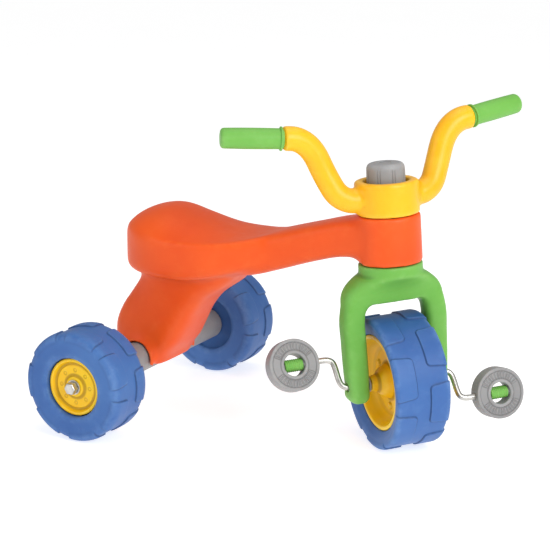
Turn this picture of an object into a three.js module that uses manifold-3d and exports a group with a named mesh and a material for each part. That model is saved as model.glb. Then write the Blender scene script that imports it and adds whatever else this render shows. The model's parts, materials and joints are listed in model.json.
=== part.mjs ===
// A small child's tricycle in moulded plastic: a hollow one-piece seat and beam on three fat wheels,
// a fork and handlebar that steer together, and a bent steel crank that turns the front wheel.
// Millimetres, +X forwards, +Y to the rider's left, +Z up; the ground is z = 0.
import * as THREE from "three";
import { mergeVertices } from "three/addons/utils/BufferGeometryUtils.js";
import Module from "manifold-3d";

const wasm = await Module();
wasm.setup();

// ---------------------------------------------------------------- driving dimensions
const REAR_AXLE_X = -260.7; // puts the origin under the middle of the whole tricycle
const WHEELBASE = 450;
const GAP = 0.3; // between pieces that touch
const RUNNING = 0.3; // radial play of a piece that turns on another
const WALL = 3.5; // wall of the hollow mouldings

const REAR_RADIUS = 90;
const REAR_HALF_WIDTH = 43;
const REAR_PLANE = 206; // from the middle of the tricycle to the middle of a rear wheel
const REAR_HUB_RADIUS = 47;
const AXLE_RADIUS = 5;
const AXLE_HALF_LENGTH = 254;
const SPACER_RADIUS = 26;
const SADDLE_RADIUS = 27.5; // the arch of the body over a spacer
const SADDLE_WEB = 22; // half the width of the web that the axle passes through

const FRONT_RADIUS = 106;
const FRONT_HALF_WIDTH = 43.5;
const FRONT_HUB_RADIUS = 76;

const RAKE = 4.3; // degrees the steering axis leans back
const STEER = -40; // degrees the front end is turned at rest, to the rider's right
const HEAD_RADIUS = 50.5;
const HEAD_BORE = 44;
const HEAD_LOW = 190.7; // along the steering axis from the front wheel's middle
const HEAD_HEIGHT = 75.9;
const STEM_RADIUS = 16;
const BOLT_RADIUS = 5;
const BUSH_HEIGHT = 12;

const COLLAR_RADIUS = 50;
const COLLAR_TOP = HEAD_LOW + 128.7;
const COLLAR_DISH = 37; // radius of the hollow that the knob sits in
const COLLAR_FLOOR = COLLAR_TOP - 16;
const KNOB_RADIUS = 30;
const KNOB_TOP = HEAD_LOW + 155.8;
const BAR_RADIUS = 19;
const BAR_CORE = 11; // radius of the bar inside a grip
const GRIP_RADIUS = 15.8;
const GRIP_FLANGE = 21;
const GRIP_INNER = [-19, 155.5, 398]; // where a grip starts and ends, in the steering frame
const GRIP_OUTER = [-38, 250, 407.6];

const LEG_OUTER = 84;
const LEG_INNER = 51;
const LEG_DEPTH = 20; // half, front to back
const LEG_LOW = -26;
const CROTCH = 130;

const ROD_RADIUS = 4.8;
const CRANK_RADIUS = 50;
const CRANK_ANGLE = 124; // of the right pedal, from forwards towards up
const PEDAL_PLANE = 162;
const PEDAL_RADIUS = 40;
const PEDAL_HOLE = 21;
const PEDAL_HALF_THICKNESS = 12;
const SLEEVE_RADIUS = 10;
const SLEEVE_HALF_LENGTH = 15;
const PEDAL_TILT = { right: 20, left: 9 }; // degrees that a pedal's face looks up

// ---------------------------------------------------------------- materials
function plastic(colour, roughness = 0.45) {
  return new THREE.MeshStandardMaterial({ color: colour, roughness, metalness: 0 });
}
const orangePlastic = plastic(0xe8592e);
const yellowPlastic = plastic(0xf2c233, 0.35);
const greenPlastic = plastic(0x78b559, 0.5);
const bluePlastic = plastic(0x4e70a8, 0.5);
const greyPlastic = plastic(0x9d9c9c, 0.5);
const steel = new THREE.MeshStandardMaterial({ color: 0xc9c9c6, roughness: 0.3, metalness: 1 });

// ---------------------------------------------------------------- geometry helpers
// A three.js geometry as a solid that can be joined and cut.
function solid(geometry) {
  const bare = new THREE.BufferGeometry();
  bare.setAttribute("position", geometry.getAttribute("position"));
  bare.setIndex(geometry.index);
  const merged = mergeVertices(bare, 1e-3);
  const corners = merged.index.array;
  const triVerts = [];
  for (let i = 0; i < corners.length; i += 3) {
    const [a, b, c] = corners.subarray(i, i + 3);
    if (a !== b && b !== c && c !== a) triVerts.push(a, b, c);
  }
  return new wasm.Manifold(
    new wasm.Mesh({
      numProp: 3,
      vertProperties: merged.attributes.position.array,
      triVerts: new Uint32Array(triVerts),
    }),
  );
}

function joined(...solids) {
  return solids.reduce((whole, piece) => whole.add(piece));
}

function cut(body, ...tools) {
  return tools.reduce((left, tool) => left.subtract(tool), body);
}

// The surface of a solid, as a geometry for a mesh.
function surface(body) {
  const mesh = body.getMesh();
  const geometry = new THREE.BufferGeometry();
  geometry.setAttribute("position", new THREE.BufferAttribute(mesh.vertProperties, 3));
  geometry.setIndex(new THREE.BufferAttribute(mesh.triVerts, 1));
  return geometry;
}

function part(name, body, material) {
  const geometry = surface(body);
  geometry.computeVertexNormals();
  const mesh = new THREE.Mesh(geometry, material);
  mesh.name = name;
  return mesh;
}

// A turned shape about the Y axis, from [radius, height] points that run anticlockwise. Flat facets
// are centred on +Z and -Z, and touch the given radii at their middles.
function turned(profile, segments = 28) {
  const half = Math.PI / segments;
  const points = profile.map(([r, h]) => new THREE.Vector2(r / Math.cos(half), h));
  const [first] = points;
  if (first.x > 0) points.push(first.clone());
  return new THREE.LatheGeometry(points, segments, half);
}

function turnedUp(profile, segments = 28) {
  return turned(profile, segments).rotateX(Math.PI / 2);
}

// A ring from [inner radius, outer radius] between two heights.
function ringProfile(inner, outer, low, high) {
  return [
    [inner, low],
    [outer, low],
    [outer, high],
    [inner, high],
  ];
}

function rod(radius, low, high, segments = 16) {
  return turned([[0, low], [radius, low], [radius, high], [0, high]], segments);
}

// A closed skin over rings of points, each ring anticlockwise as seen from the last ring.
function loft(rings) {
  const sides = rings[0].length;
  const centre = (ring) => ring.reduce((sum, p) => sum.clone().add(p)).divideScalar(sides);
  const points = [...rings.flat(), centre(rings[0]), centre(rings.at(-1))];
  const first = points.length - 2;
  const last = points.length - 1;
  const index = [];
  for (let side = 0; side < sides; side += 1) {
    const next = (side + 1) % sides;
    index.push(first, next, side);
    for (let ring = 0; ring < rings.length - 1; ring += 1) {
      const low = ring * sides;
      const high = low + sides;
      index.push(low + side, low + next, high + next, low + side, high + next, high + side);
    }
    const top = (rings.length - 1) * sides;
    index.push(last, top + side, top + next);
  }
  return new THREE.BufferGeometry().setFromPoints(points).setIndex(index);
}

// Rows of numbers made denser by a smooth curve through them, `steps` to each stretch.
function smoothRows(rows, steps) {
  const width = rows[0].length;
  const curve = new THREE.CubicInterpolant(
    rows.map((_, i) => i),
    rows.flat(),
    width,
    new Float64Array(width),
  );
  const count = (rows.length - 1) * steps + 1;
  return Array.from({ length: count }, (_, i) => Array.from(curve.evaluate(i / steps)));
}

// Unit superellipse: exponent 2 is a circle, and a larger one has squarer corners.
function roundedUnit(angle, exponent) {
  const bend = (value) => Math.sign(value) * Math.abs(value) ** (2 / exponent);
  return [bend(Math.cos(angle)), bend(Math.sin(angle))];
}

function around(sides, point) {
  return Array.from({ length: sides }, (_, i) => point(((i + 0.5) / sides) * 2 * Math.PI));
}

// A tube that follows a curve, with closed ends.
function tube(curve, radius, steps, sides) {
  const circle = new THREE.Shape(
    around(sides, (a) => new THREE.Vector2(radius * Math.cos(a), radius * Math.sin(a))),
  );
  return new THREE.ExtrudeGeometry(circle, { extrudePath: curve, steps, bevelEnabled: false });
}

const radians = THREE.MathUtils.degToRad;

// ---------------------------------------------------------------- seat and beam
const SEAT_MIDDLE = 70; // forwards of the rear axle
const SEAT_BACK = 106;
const SEAT_FRONT = 190;
const SEAT_HALF_WIDTH = 92;
// Forwards position, rim height, and how far the middle rises above the rim.
const SEAT_TOP = [
  [-40, 306, 25],
  [-10, 306, 41],
  [32, 305, 44],
  [81, 304, 35],
  [148, 306, 17],
  [200, 313, 4],
  [270, 333, 2],
];

// The crown is full and round behind, and eases into a plain dish in front.
function seatTop(x, inward) {
  const at = Math.max(0, SEAT_TOP.findLastIndex(([station]) => station <= x));
  const [x0, rim0, rise0] = SEAT_TOP[at];
  const [x1, rim1, rise1] = SEAT_TOP[Math.min(at + 1, SEAT_TOP.length - 1)];
  const t = THREE.MathUtils.smoothstep(x, x0, Math.max(x1, x0 + 1));
  const rim = THREE.MathUtils.lerp(rim0, rim1, t);
  const rise = THREE.MathUtils.lerp(rise0, rise1, t);
  const forwards = THREE.MathUtils.smoothstep(x, -30, 90);
  const fullness = THREE.MathUtils.lerp(0.5, 1, forwards);
  return rim + rise * (1 - inward ** 2.2) ** fullness;
}

// The underside runs level below the rider and rises towards the beam.
function seatUnderside(x) {
  return 240 + 28 * THREE.MathUtils.smoothstep(x, 90, 262);
}

// One closed outline of the seat, seen from above, shrunk by `scale` and then by `inset`.
function seatRing(scale, inset, height, sides) {
  return around(sides, (angle) => {
    const forward = Math.cos(angle) > 0;
    const [u, v] = roundedUnit(angle, forward ? 1.95 : 2.2);
    const length = (forward ? SEAT_FRONT : SEAT_BACK) - inset;
    const x = SEAT_MIDDLE + u * length * scale;
    const y = v * (SEAT_HALF_WIDTH - inset) * scale;
    return new THREE.Vector3(x, y, height(x));
  });
}

function seatBlock(inset, sides) {
  const wall = [
    seatRing(0.86, inset, (x) => seatUnderside(x) + inset, sides),
    seatRing(0.95, inset, (x) => seatUnderside(x) + inset + 4, sides),
    seatRing(1, inset, (x) => seatUnderside(x) + inset + 16, sides),
    seatRing(1, inset, (x) => seatTop(x, 1) - inset - 7, sides),
  ];
  const crown = [0.97, 0.88, 0.7, 0.45, 0.2].map((scale) =>
    seatRing(scale, inset, (x) => seatTop(x, scale) - inset, sides),
  );
  return solid(loft([...wall, ...crown]));
}

// Forwards position, half width, underside and top of the beam from the seat to the head.
const BEAM = [
  [150, 60, 247, 306],
  [205, 51, 251, 315],
  [255, 43, 266, 331],
  [310, 39, 285, 347],
  [360, 39, 299, 361],
  [424, 46, 303, 370],
];

function beamBlock(inset, sides) {
  const rings = smoothRows(BEAM, 2).map(([x, halfWidth, low, high]) =>
    around(sides, (angle) => {
      const [u, v] = roundedUnit(angle, 4.5);
      const y = u * (halfWidth - inset);
      const z = (high + low) / 2 + v * ((high - low) / 2 - inset);
      return new THREE.Vector3(x, y, z);
    }),
  );
  return solid(loft(rings));
}

// Height, middle, half depth and half width of the column from the rear axle to the seat.
const COLUMN = [
  [78, -2, 41, 61],
  [90, -2, 46, 62],
  [114, 5, 58, 62],
  [142, 12, 67, 60],
  [172, 26, 70, 56],
  [198, 46, 72, 54],
  [226, 74.5, 81.5, 58],
  [264, 92, 95, 64],
];

function columnBlock(inset, sides, lowest) {
  const rows = smoothRows(COLUMN, 1).filter(([z]) => z >= lowest);
  const rings = rows.map(([z, middle, halfDepth, halfWidth]) =>
    around(sides, (angle) => {
      const [u, v] = roundedUnit(angle, 4.5);
      const x = middle + u * (halfDepth - inset);
      const y = v * (halfWidth - inset);
      return new THREE.Vector3(x, y, z);
    }),
  );
  return solid(loft(rings));
}

function headSolid(radius, low, high, segments) {
  const head = turnedUp([[0, low], [radius, low], [radius, high], [0, high]], segments);
  return solid(head.applyMatrix4(steeringFrame(0)));
}

function bodyShell() {
  const headHigh = HEAD_LOW + HEAD_HEIGHT;
  const outside = joined(
    seatBlock(0, 36),
    beamBlock(0, 20),
    columnBlock(0, 24, 0),
    headSolid(HEAD_RADIUS, HEAD_LOW, headHigh, 36),
  );
  const hollow = joined(seatBlock(WALL, 20), beamBlock(WALL, 12), columnBlock(WALL, 12, 140));
  const headBore = headSolid(HEAD_BORE, HEAD_LOW - 5, headHigh + 5, 32);
  const axleBore = solid(rod(AXLE_RADIUS + GAP, -80, 80).translate(0, 0, REAR_RADIUS));
  const saddles = [-1, 1].map((side) => {
    const arch = turned(ringProfile(0, SADDLE_RADIUS, SADDLE_WEB, 90).slice(0, 4), 28);
    return solid(arch.rotateX(side > 0 ? 0 : Math.PI).translate(0, 0, REAR_RADIUS));
  });
  return cut(outside, hollow, headBore, axleBore, ...saddles);
}

// ---------------------------------------------------------------- rear axle and wheels
function axleSpacer() {
  const end = REAR_PLANE - REAR_HALF_WIDTH + 7;
  return solid(turned(ringProfile(AXLE_RADIUS + GAP, SPACER_RADIUS, SADDLE_WEB + GAP, end), 28));
}

function axleWasher() {
  const low = REAR_PLANE + 34 + GAP;
  return solid(turned(ringProfile(AXLE_RADIUS + GAP, 12, low, low + 1.6), 20));
}

function axleNut() {
  const low = REAR_PLANE + 36.2 + GAP;
  const profile = [
    [AXLE_RADIUS + GAP, low],
    [9, low],
    [9, low + 9.2],
    [8, low + 10.7],
    [AXLE_RADIUS + GAP, low + 10.7],
  ];
  return solid(turned(profile, 6));
}

// A hollow moulded wheel with a pocket for a hub on its outer side, and on its inner side either
// the same pocket or a shallow recess. Heights run outwards from the wheel's middle plane.
function wheelSolid({ radius, halfWidth, pocketRadius, pocketFloor, lip, innerFloor, innerRadius, bore }) {
  const shoulder = radius - 15;
  const slope = 2 * (halfWidth - lip);
  const outside = [
    [bore, innerFloor],
    [innerRadius, innerFloor],
    [innerRadius, -lip],
    [innerRadius + slope, -halfWidth],
    [shoulder + 1, -halfWidth],
    [radius - 5, -halfWidth + 5],
    [radius - 1, -halfWidth + 13],
    [radius, -halfWidth + 20],
    [radius, halfWidth - 20],
    [radius - 1, halfWidth - 13],
    [radius - 5, halfWidth - 5],
    [shoulder + 1, halfWidth],
    [pocketRadius + slope, halfWidth],
    [pocketRadius, lip],
    [pocketRadius, pocketFloor],
    [bore, pocketFloor],
  ];
  const rim = Math.max(pocketRadius, innerRadius) + WALL;
  const hollow = [
    [rim, -lip + WALL],
    [rim + slope, -halfWidth + WALL + 1],
    [radius - WALL - 4, -halfWidth + 9],
    [radius - WALL - 1, -halfWidth + 18],
    [radius - WALL - 1, halfWidth - 18],
    [radius - WALL - 4, halfWidth - 9],
    [rim + slope, halfWidth - WALL - 1],
    [rim, lip - WALL],
  ];
  const ventLength = 8;
  const vent = new THREE.CylinderGeometry(3, 3, ventLength, 8);
  vent.rotateZ(Math.PI / 2).translate(rim - ventLength / 2 + 1, pocketFloor + 5, 0);
  return cut(solid(turned(outside)), solid(turned(hollow, 16)), solid(vent));
}

function rearWheel() {
  return wheelSolid({
    radius: REAR_RADIUS,
    halfWidth: REAR_HALF_WIDTH,
    pocketRadius: REAR_HUB_RADIUS + 1.5,
    pocketFloor: 24,
    lip: 40,
    innerFloor: -35,
    innerRadius: 47,
    bore: 12,
  });
}

// Dished hub with a long sleeve through the wheel that runs on the axle.
function rearHub() {
  const bore = AXLE_RADIUS + RUNNING;
  return solid(
    turned([
      [bore, -35],
      [12 - GAP, -35],
      [12 - GAP, 24 + GAP],
      [REAR_HUB_RADIUS - 2, 24 + GAP],
      [REAR_HUB_RADIUS, 26],
      [REAR_HUB_RADIUS, 35],
      [REAR_HUB_RADIUS - 5, 35],
      [REAR_HUB_RADIUS - 9, 30],
      [20, 30],
      [16, 34],
      [bore, 34],
    ]),
  );
}

// ---------------------------------------------------------------- steering
// The front wheel's middle, with the steering axis along +Z, turned about it by `steer` degrees.
function steeringFrame(steer) {
  const turn = new THREE.Euler(0, -radians(RAKE), radians(steer));
  const frame = new THREE.Matrix4().makeRotationFromEuler(turn);
  return frame.setPosition(WHEELBASE, 0, frontHeight());
}

// How high the middle of the leaning front wheel stands, so that its tyre touches the ground.
function frontHeight() {
  const turn = new THREE.Euler(0, -radians(RAKE), radians(STEER));
  const wheel = surface(frontWheel()).applyMatrix4(new THREE.Matrix4().makeRotationFromEuler(turn));
  wheel.computeBoundingBox();
  return -wheel.boundingBox.min.z;
}

function headBush(low) {
  return solid(turnedUp(ringProfile(STEM_RADIUS + RUNNING, HEAD_BORE - GAP, low, low + BUSH_HEIGHT), 32));
}

// Height, middle, half depth, half width and corner exponent of the fork's crown.
const CROWN = [
  [CROTCH, -1, 22, 84, 4],
  [142, -3, 27, 82, 3.6],
  [155, -4, 34, 75, 3],
  [166, -3, 44, 64, 2.4],
  [174, -1, 49.5, 53.5, 2.1],
  [HEAD_LOW - 1, 0, HEAD_RADIUS, HEAD_RADIUS, 2],
];

function crownBlock(inset, sides) {
  const rings = CROWN.map(([z, middle, halfDepth, halfWidth, exponent], i) => {
    const lift = i === 0 ? inset : i === CROWN.length - 1 ? -inset : 0;
    return around(sides, (angle) => {
      const [u, v] = roundedUnit(angle, exponent);
      const x = middle + u * (halfDepth - inset);
      return new THREE.Vector3(x, v * (halfWidth - inset), z + lift);
    });
  });
  return solid(loft(rings));
}

// Height, inner face and outer face of a fork leg.
const LEG = [
  [LEG_LOW, LEG_INNER + 5, LEG_OUTER - 6],
  [LEG_LOW + 5, LEG_INNER + 2, LEG_OUTER - 2.5],
  [0, LEG_INNER, LEG_OUTER],
  [70, LEG_INNER, LEG_OUTER + 3],
  [116, LEG_INNER, LEG_OUTER + 3],
  [CROTCH + 6, LEG_INNER - 8, LEG_OUTER - 1],
];

function legBlock(side, inset, sides, lowest) {
  const rings = LEG.filter(([z]) => z >= lowest).map(([z, inner, outer], i) => {
    const depth = z === LEG_LOW ? LEG_DEPTH - 4 : LEG_DEPTH;
    return around(sides, (angle) => {
      const [u, v] = roundedUnit(angle, 3.2);
      const y = side * (inner + outer) / 2 + v * ((outer - inner) / 2 - inset);
      return new THREE.Vector3(u * (depth - inset), y, z);
    });
  });
  return solid(loft(rings));
}

function fork() {
  const stemTop = COLLAR_FLOOR - 4;
  const stem = turnedUp(ringProfile(BOLT_RADIUS + GAP, STEM_RADIUS, HEAD_LOW - 8, stemTop), 20);
  const outside = joined(
    crownBlock(0, 32),
    legBlock(1, 0, 20, LEG_LOW),
    legBlock(-1, 0, 20, LEG_LOW),
  );
  const hollow = joined(
    crownBlock(WALL, 16),
    legBlock(1, WALL, 12, 30),
    legBlock(-1, WALL, 12, 30),
  );
  const boltHole = turnedUp([[0, HEAD_LOW - 20], [5.3, HEAD_LOW - 20], [5.3, 300], [0, 300]], 20);
  const crankHole = rod(8, -100, 100, 20);
  return cut(joined(cut(outside, hollow), solid(stem)), solid(boltHole), solid(crankHole));
}

function crankBush() {
  const bore = ROD_RADIUS + RUNNING;
  return solid(
    turned(
      [
        [bore, LEG_INNER - 3],
        [13, LEG_INNER - 3],
        [13, LEG_INNER - GAP],
        [8 - GAP, LEG_INNER - GAP],
        [8 - GAP, LEG_OUTER + 1],
        [bore, LEG_OUTER + 1],
      ],
      20,
    ),
  );
}

function steeringBolt() {
  return solid(rod(BOLT_RADIUS, HEAD_LOW - 2, KNOB_TOP - 12).rotateX(Math.PI / 2));
}

function knobWasher() {
  const low = COLLAR_FLOOR + GAP;
  return solid(turnedUp(ringProfile(BOLT_RADIUS + GAP, 22, low, low + 2), 24));
}

// Cap nut with a domed shoulder and paired flutes down its side.
function knob() {
  const low = COLLAR_FLOOR + 2 + 2 * GAP;
  const cap = turnedUp(
    [
      [BOLT_RADIUS + GAP, low],
      [KNOB_RADIUS, low],
      [KNOB_RADIUS, KNOB_TOP - 9],
      [KNOB_RADIUS - 3, KNOB_TOP - 3],
      [KNOB_RADIUS - 9, KNOB_TOP],
      [0, KNOB_TOP],
      [0, KNOB_TOP - 11],
      [BOLT_RADIUS + GAP, KNOB_TOP - 11],
    ],
    28,
  );
  const flute = new THREE.CylinderGeometry(2.5, 2.5, 60, 8).rotateX(Math.PI / 2);
  const flutes = [];
  for (let i = 0; i < 8; i += 1) {
    const angle = (i / 8) * 2 * Math.PI;
    const place = flute.clone().translate(KNOB_RADIUS + 1, 0, KNOB_TOP - 14);
    flutes.push(solid(place.rotateZ(angle)));
  }
  return cut(solid(cap), ...flutes);
}

// ---------------------------------------------------------------- handlebar
// Middle line of one arm, from inside the collar to where the grip starts.
function armCurve(side) {
  const route = [
    [0, 34, 293],
    [0, 60, 293],
    [-5, 78, 303],
    [-11, 90, 325],
    [-15, 99, 347],
    [-17, 108, 369],
    [-18, 121, 386],
    [-18.5, 138, 396],
  ];
  const points = route.map(([x, y, z]) => new THREE.Vector3(x, side * y, z));
  return new THREE.CatmullRomCurve3([...points, gripPoint(side, -0.05)]);
}

function gripPoint(side, along) {
  const inner = new THREE.Vector3(...GRIP_INNER);
  const outer = new THREE.Vector3(...GRIP_OUTER);
  const point = new THREE.Vector3().lerpVectors(inner, outer, along);
  return point.setY(side * point.y);
}

// A turned shape laid along a grip, with heights measured outwards from the grip's inner end.
function alongGrip(side, profile, segments) {
  const start = gripPoint(side, 0);
  const heading = gripPoint(side, 1).sub(start).normalize();
  const turn = new THREE.Quaternion().setFromUnitVectors(new THREE.Vector3(0, 1, 0), heading);
  const place = new THREE.Matrix4().compose(start, turn, new THREE.Vector3(1, 1, 1));
  return solid(turned(profile, segments).applyMatrix4(place));
}

const GRIP_LENGTH = gripPoint(1, 0).distanceTo(gripPoint(1, 1));

function handlebar() {
  const low = HEAD_LOW + HEAD_HEIGHT + 0.8;
  const collar = turnedUp(
    [
      [STEM_RADIUS + GAP, low],
      [COLLAR_RADIUS - 2, low],
      [COLLAR_RADIUS, low + 4],
      [COLLAR_RADIUS, COLLAR_TOP - 6],
      [COLLAR_RADIUS - 4, COLLAR_TOP],
      [COLLAR_DISH + 3, COLLAR_TOP],
      [COLLAR_DISH, COLLAR_TOP - 3],
      [COLLAR_DISH - 2, COLLAR_FLOOR],
      [STEM_RADIUS + GAP, COLLAR_FLOOR],
    ],
    32,
  );
  const underside = turnedUp(ringProfile(STEM_RADIUS + 5, COLLAR_RADIUS - 5, low - 5, COLLAR_FLOOR - 5), 16);
  const core = [
    [0, -9],
    [BAR_RADIUS - 2, -9],
    [BAR_RADIUS - 2, 0],
    [BAR_CORE, 0],
    [BAR_CORE, GRIP_LENGTH - 8],
    [0, GRIP_LENGTH - 8],
  ];
  const coreHollow = [[0, -20], [BAR_CORE - 3, -20], [BAR_CORE - 3, 200], [0, 200]];
  const arms = [-1, 1].map((side) => solid(tube(armCurve(side), BAR_RADIUS, 14, 12)));
  const armHollows = [-1, 1].map((side) => solid(tube(armCurve(side), BAR_RADIUS - WALL, 10, 8)));
  const dish = turnedUp([[0, COLLAR_FLOOR], [COLLAR_DISH - 2, COLLAR_FLOOR], [COLLAR_DISH, 400], [0, 400]], 32);
  const bore = turnedUp([[0, 200], [STEM_RADIUS + GAP, 200], [STEM_RADIUS + GAP, 400], [0, 400]], 16);
  const cores = [-1, 1].map((side) => alongGrip(side, core, 20));
  const coreHollows = [-1, 1].map((side) => alongGrip(side, coreHollow, 8));
  const outside = cut(joined(solid(collar), ...arms), solid(dish), solid(bore), solid(underside));
  return cut(joined(cut(outside, ...armHollows), ...cores), ...coreHollows);
}

function grip(side) {
  return alongGrip(
    side,
    [
      [BAR_CORE + GAP, GAP],
      [GRIP_FLANGE - 1, GAP],
      [GRIP_FLANGE, 1.5],
      [GRIP_FLANGE, 5],
      [GRIP_RADIUS, 7],
      [GRIP_RADIUS, GRIP_LENGTH - 5],
      [GRIP_RADIUS - 4, GRIP_LENGTH],
      [0, GRIP_LENGTH],
      [0, GRIP_LENGTH - 6],
      [BAR_CORE + GAP, GRIP_LENGTH - 6],
    ],
    20,
  );
}

// ---------------------------------------------------------------- front wheel, crank and pedals
function frontWheel() {
  return wheelSolid({
    radius: FRONT_RADIUS,
    halfWidth: FRONT_HALF_WIDTH,
    pocketRadius: FRONT_HUB_RADIUS + 0.8,
    pocketFloor: 6,
    lip: 36,
    innerFloor: -6,
    innerRadius: FRONT_HUB_RADIUS + 0.8,
    bore: 12,
  });
}

// Deep dish with a raised rim and a domed middle that grips the crank.
function frontHub() {
  const bore = ROD_RADIUS + GAP;
  return solid(
    turned([
      [bore, 6 + GAP],
      [50, 6 + GAP],
      [58, 12],
      [FRONT_HUB_RADIUS - 2, 28],
      [FRONT_HUB_RADIUS, 31],
      [FRONT_HUB_RADIUS, 34.8],
      [FRONT_HUB_RADIUS - 8, 34.8],
      [56, 18],
      [46, 13],
      [30, 13],
      [22, 28],
      [14, 34],
      [12, 46],
      [bore, 46],
    ]),
  );
}

// Where the pin of a pedal lies, as [forwards, up] from the front wheel's middle.
function pinPlace(side) {
  const angle = radians(CRANK_ANGLE);
  return [-side * CRANK_RADIUS * Math.cos(angle), -side * CRANK_RADIUS * Math.sin(angle)];
}

// One bent steel rod: a straight axle through the wheel, two slanting arms and two pedal pins.
function crank() {
  const half = (side) => {
    const [x, z] = pinPlace(side);
    const at = (share, y) => new THREE.Vector3(x * share, side * y, z * share);
    return [
      at(0, 60),
      at(0, 84.5),
      at(0.09, 91.5),
      at(0.3, 93.5),
      at(0.7, 94),
      at(0.92, 97.5),
      at(1, 107),
      at(1, 130),
      at(1, PEDAL_PLANE + PEDAL_RADIUS - 10),
    ];
  };
  const route = [...half(-1).reverse(), ...half(1)];
  const curve = new THREE.CatmullRomCurve3(route, false, "catmullrom", 0.5);
  return solid(tube(curve, ROD_RADIUS, 48, 8));
}

function pedalRing() {
  const t = PEDAL_HALF_THICKNESS;
  const ring = turned(
    [
      [PEDAL_HOLE, -t + 3],
      [PEDAL_HOLE + 2, -t],
      [PEDAL_RADIUS - 4, -t],
      [PEDAL_RADIUS, -t + 4],
      [PEDAL_RADIUS, t - 4],
      [PEDAL_RADIUS - 4, t],
      [PEDAL_HOLE + 2, t],
      [PEDAL_HOLE, t - 3],
    ],
    28,
  ).rotateZ(-Math.PI / 2);
  const pinHole = rod(ROD_RADIUS + RUNNING, -PEDAL_RADIUS - 5, PEDAL_RADIUS - 8);
  return cut(solid(ring), solid(pinHole));
}

function pedalSleeve() {
  const profile = [
    [ROD_RADIUS + RUNNING, -SLEEVE_HALF_LENGTH],
    [SLEEVE_RADIUS, -SLEEVE_HALF_LENGTH],
    [SLEEVE_RADIUS, SLEEVE_HALF_LENGTH],
    [ROD_RADIUS + RUNNING, SLEEVE_HALF_LENGTH],
  ];
  return solid(turned(profile, 20));
}

// ---------------------------------------------------------------- the whole tricycle
const SIDES = { right: -1, left: 1 };

// A piece drawn for the left side, turned half round for the right side.
function placeSide(mesh, side, x, y, z) {
  mesh.position.set(x, side * y, z);
  if (side < 0) mesh.rotation.z = Math.PI;
  return mesh;
}

function rearEnd() {
  const group = new THREE.Group();
  group.add(part("body_shell", bodyShell(), orangePlastic));
  const axle = rod(AXLE_RADIUS, -AXLE_HALF_LENGTH, AXLE_HALF_LENGTH);
  const axleMesh = part("rear_axle", solid(axle), steel);
  axleMesh.position.z = REAR_RADIUS;
  group.add(axleMesh);
  for (const [name, side] of Object.entries(SIDES)) {
    const fixed = [
      part(`axle_spacer_${name}`, axleSpacer(), greyPlastic),
      part(`axle_washer_${name}`, axleWasher(), steel),
      part(`axle_nut_${name}`, axleNut(), steel),
    ];
    const turning = [
      part(`rear_wheel_${name}`, rearWheel(), bluePlastic),
      part(`rear_hub_${name}`, rearHub(), yellowPlastic),
    ];
    fixed.forEach((mesh) => group.add(placeSide(mesh, side, 0, 0, REAR_RADIUS)));
    turning.forEach((mesh) => group.add(placeSide(mesh, side, 0, REAR_PLANE, REAR_RADIUS)));
  }
  return group;
}

function headBearings() {
  const group = new THREE.Group();
  group.applyMatrix4(steeringFrame(0));
  group.add(part("head_bush_lower", headBush(HEAD_LOW + 1), greyPlastic));
  const high = HEAD_LOW + HEAD_HEIGHT - BUSH_HEIGHT - 0.5;
  group.add(part("head_bush_upper", headBush(high), greyPlastic));
  return group;
}

function frontEnd() {
  const group = new THREE.Group();
  group.applyMatrix4(steeringFrame(STEER));
  group.add(
    part("fork", fork(), greenPlastic),
    part("steering_bolt", steeringBolt(), steel),
    part("knob_washer", knobWasher(), steel),
    part("knob", knob(), greyPlastic),
    part("handlebar", handlebar(), yellowPlastic),
    part("front_wheel", frontWheel(), bluePlastic),
    part("crank", crank(), steel),
  );
  for (const [name, side] of Object.entries(SIDES)) {
    group.add(part(`grip_${name}`, grip(side), greenPlastic));
    group.add(placeSide(part(`crank_bush_${name}`, crankBush(), greyPlastic), side, 0, 0, 0));
    group.add(placeSide(part(`front_hub_${name}`, frontHub(), yellowPlastic), side, 0, 0, 0));
    group.add(pedal(name, side));
  }
  return group;
}

// A ring on the pin of the crank, with its face looking forwards and a little up.
function pedal(name, side) {
  const [x, z] = pinPlace(side);
  const group = new THREE.Group();
  group.position.set(x, side * PEDAL_PLANE, z);
  group.rotation.set(0, -radians(PEDAL_TILT[name]), 0);
  const pieces = [
    part(`pedal_ring_${name}`, pedalRing(), greyPlastic),
    part(`pedal_sleeve_${name}`, pedalSleeve(), greenPlastic),
  ];
  pieces.forEach((mesh) => group.add(placeSide(mesh, side, 0, 0, 0)));
  return group;
}

const tricycle = new THREE.Group();
tricycle.add(rearEnd(), headBearings(), frontEnd());
tricycle.position.x = REAR_AXLE_X;

export default tricycle;
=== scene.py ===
# %% [markdown]
# # A moulded tricycle, piece by piece
# The frame holds the tricycle's plain engineering parts where they really are. Each visible moulding
# is made again here as a fine surface worked out with numpy, and laid over the plain part it stands for.

# %% Open the frame
import json
import math

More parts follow.
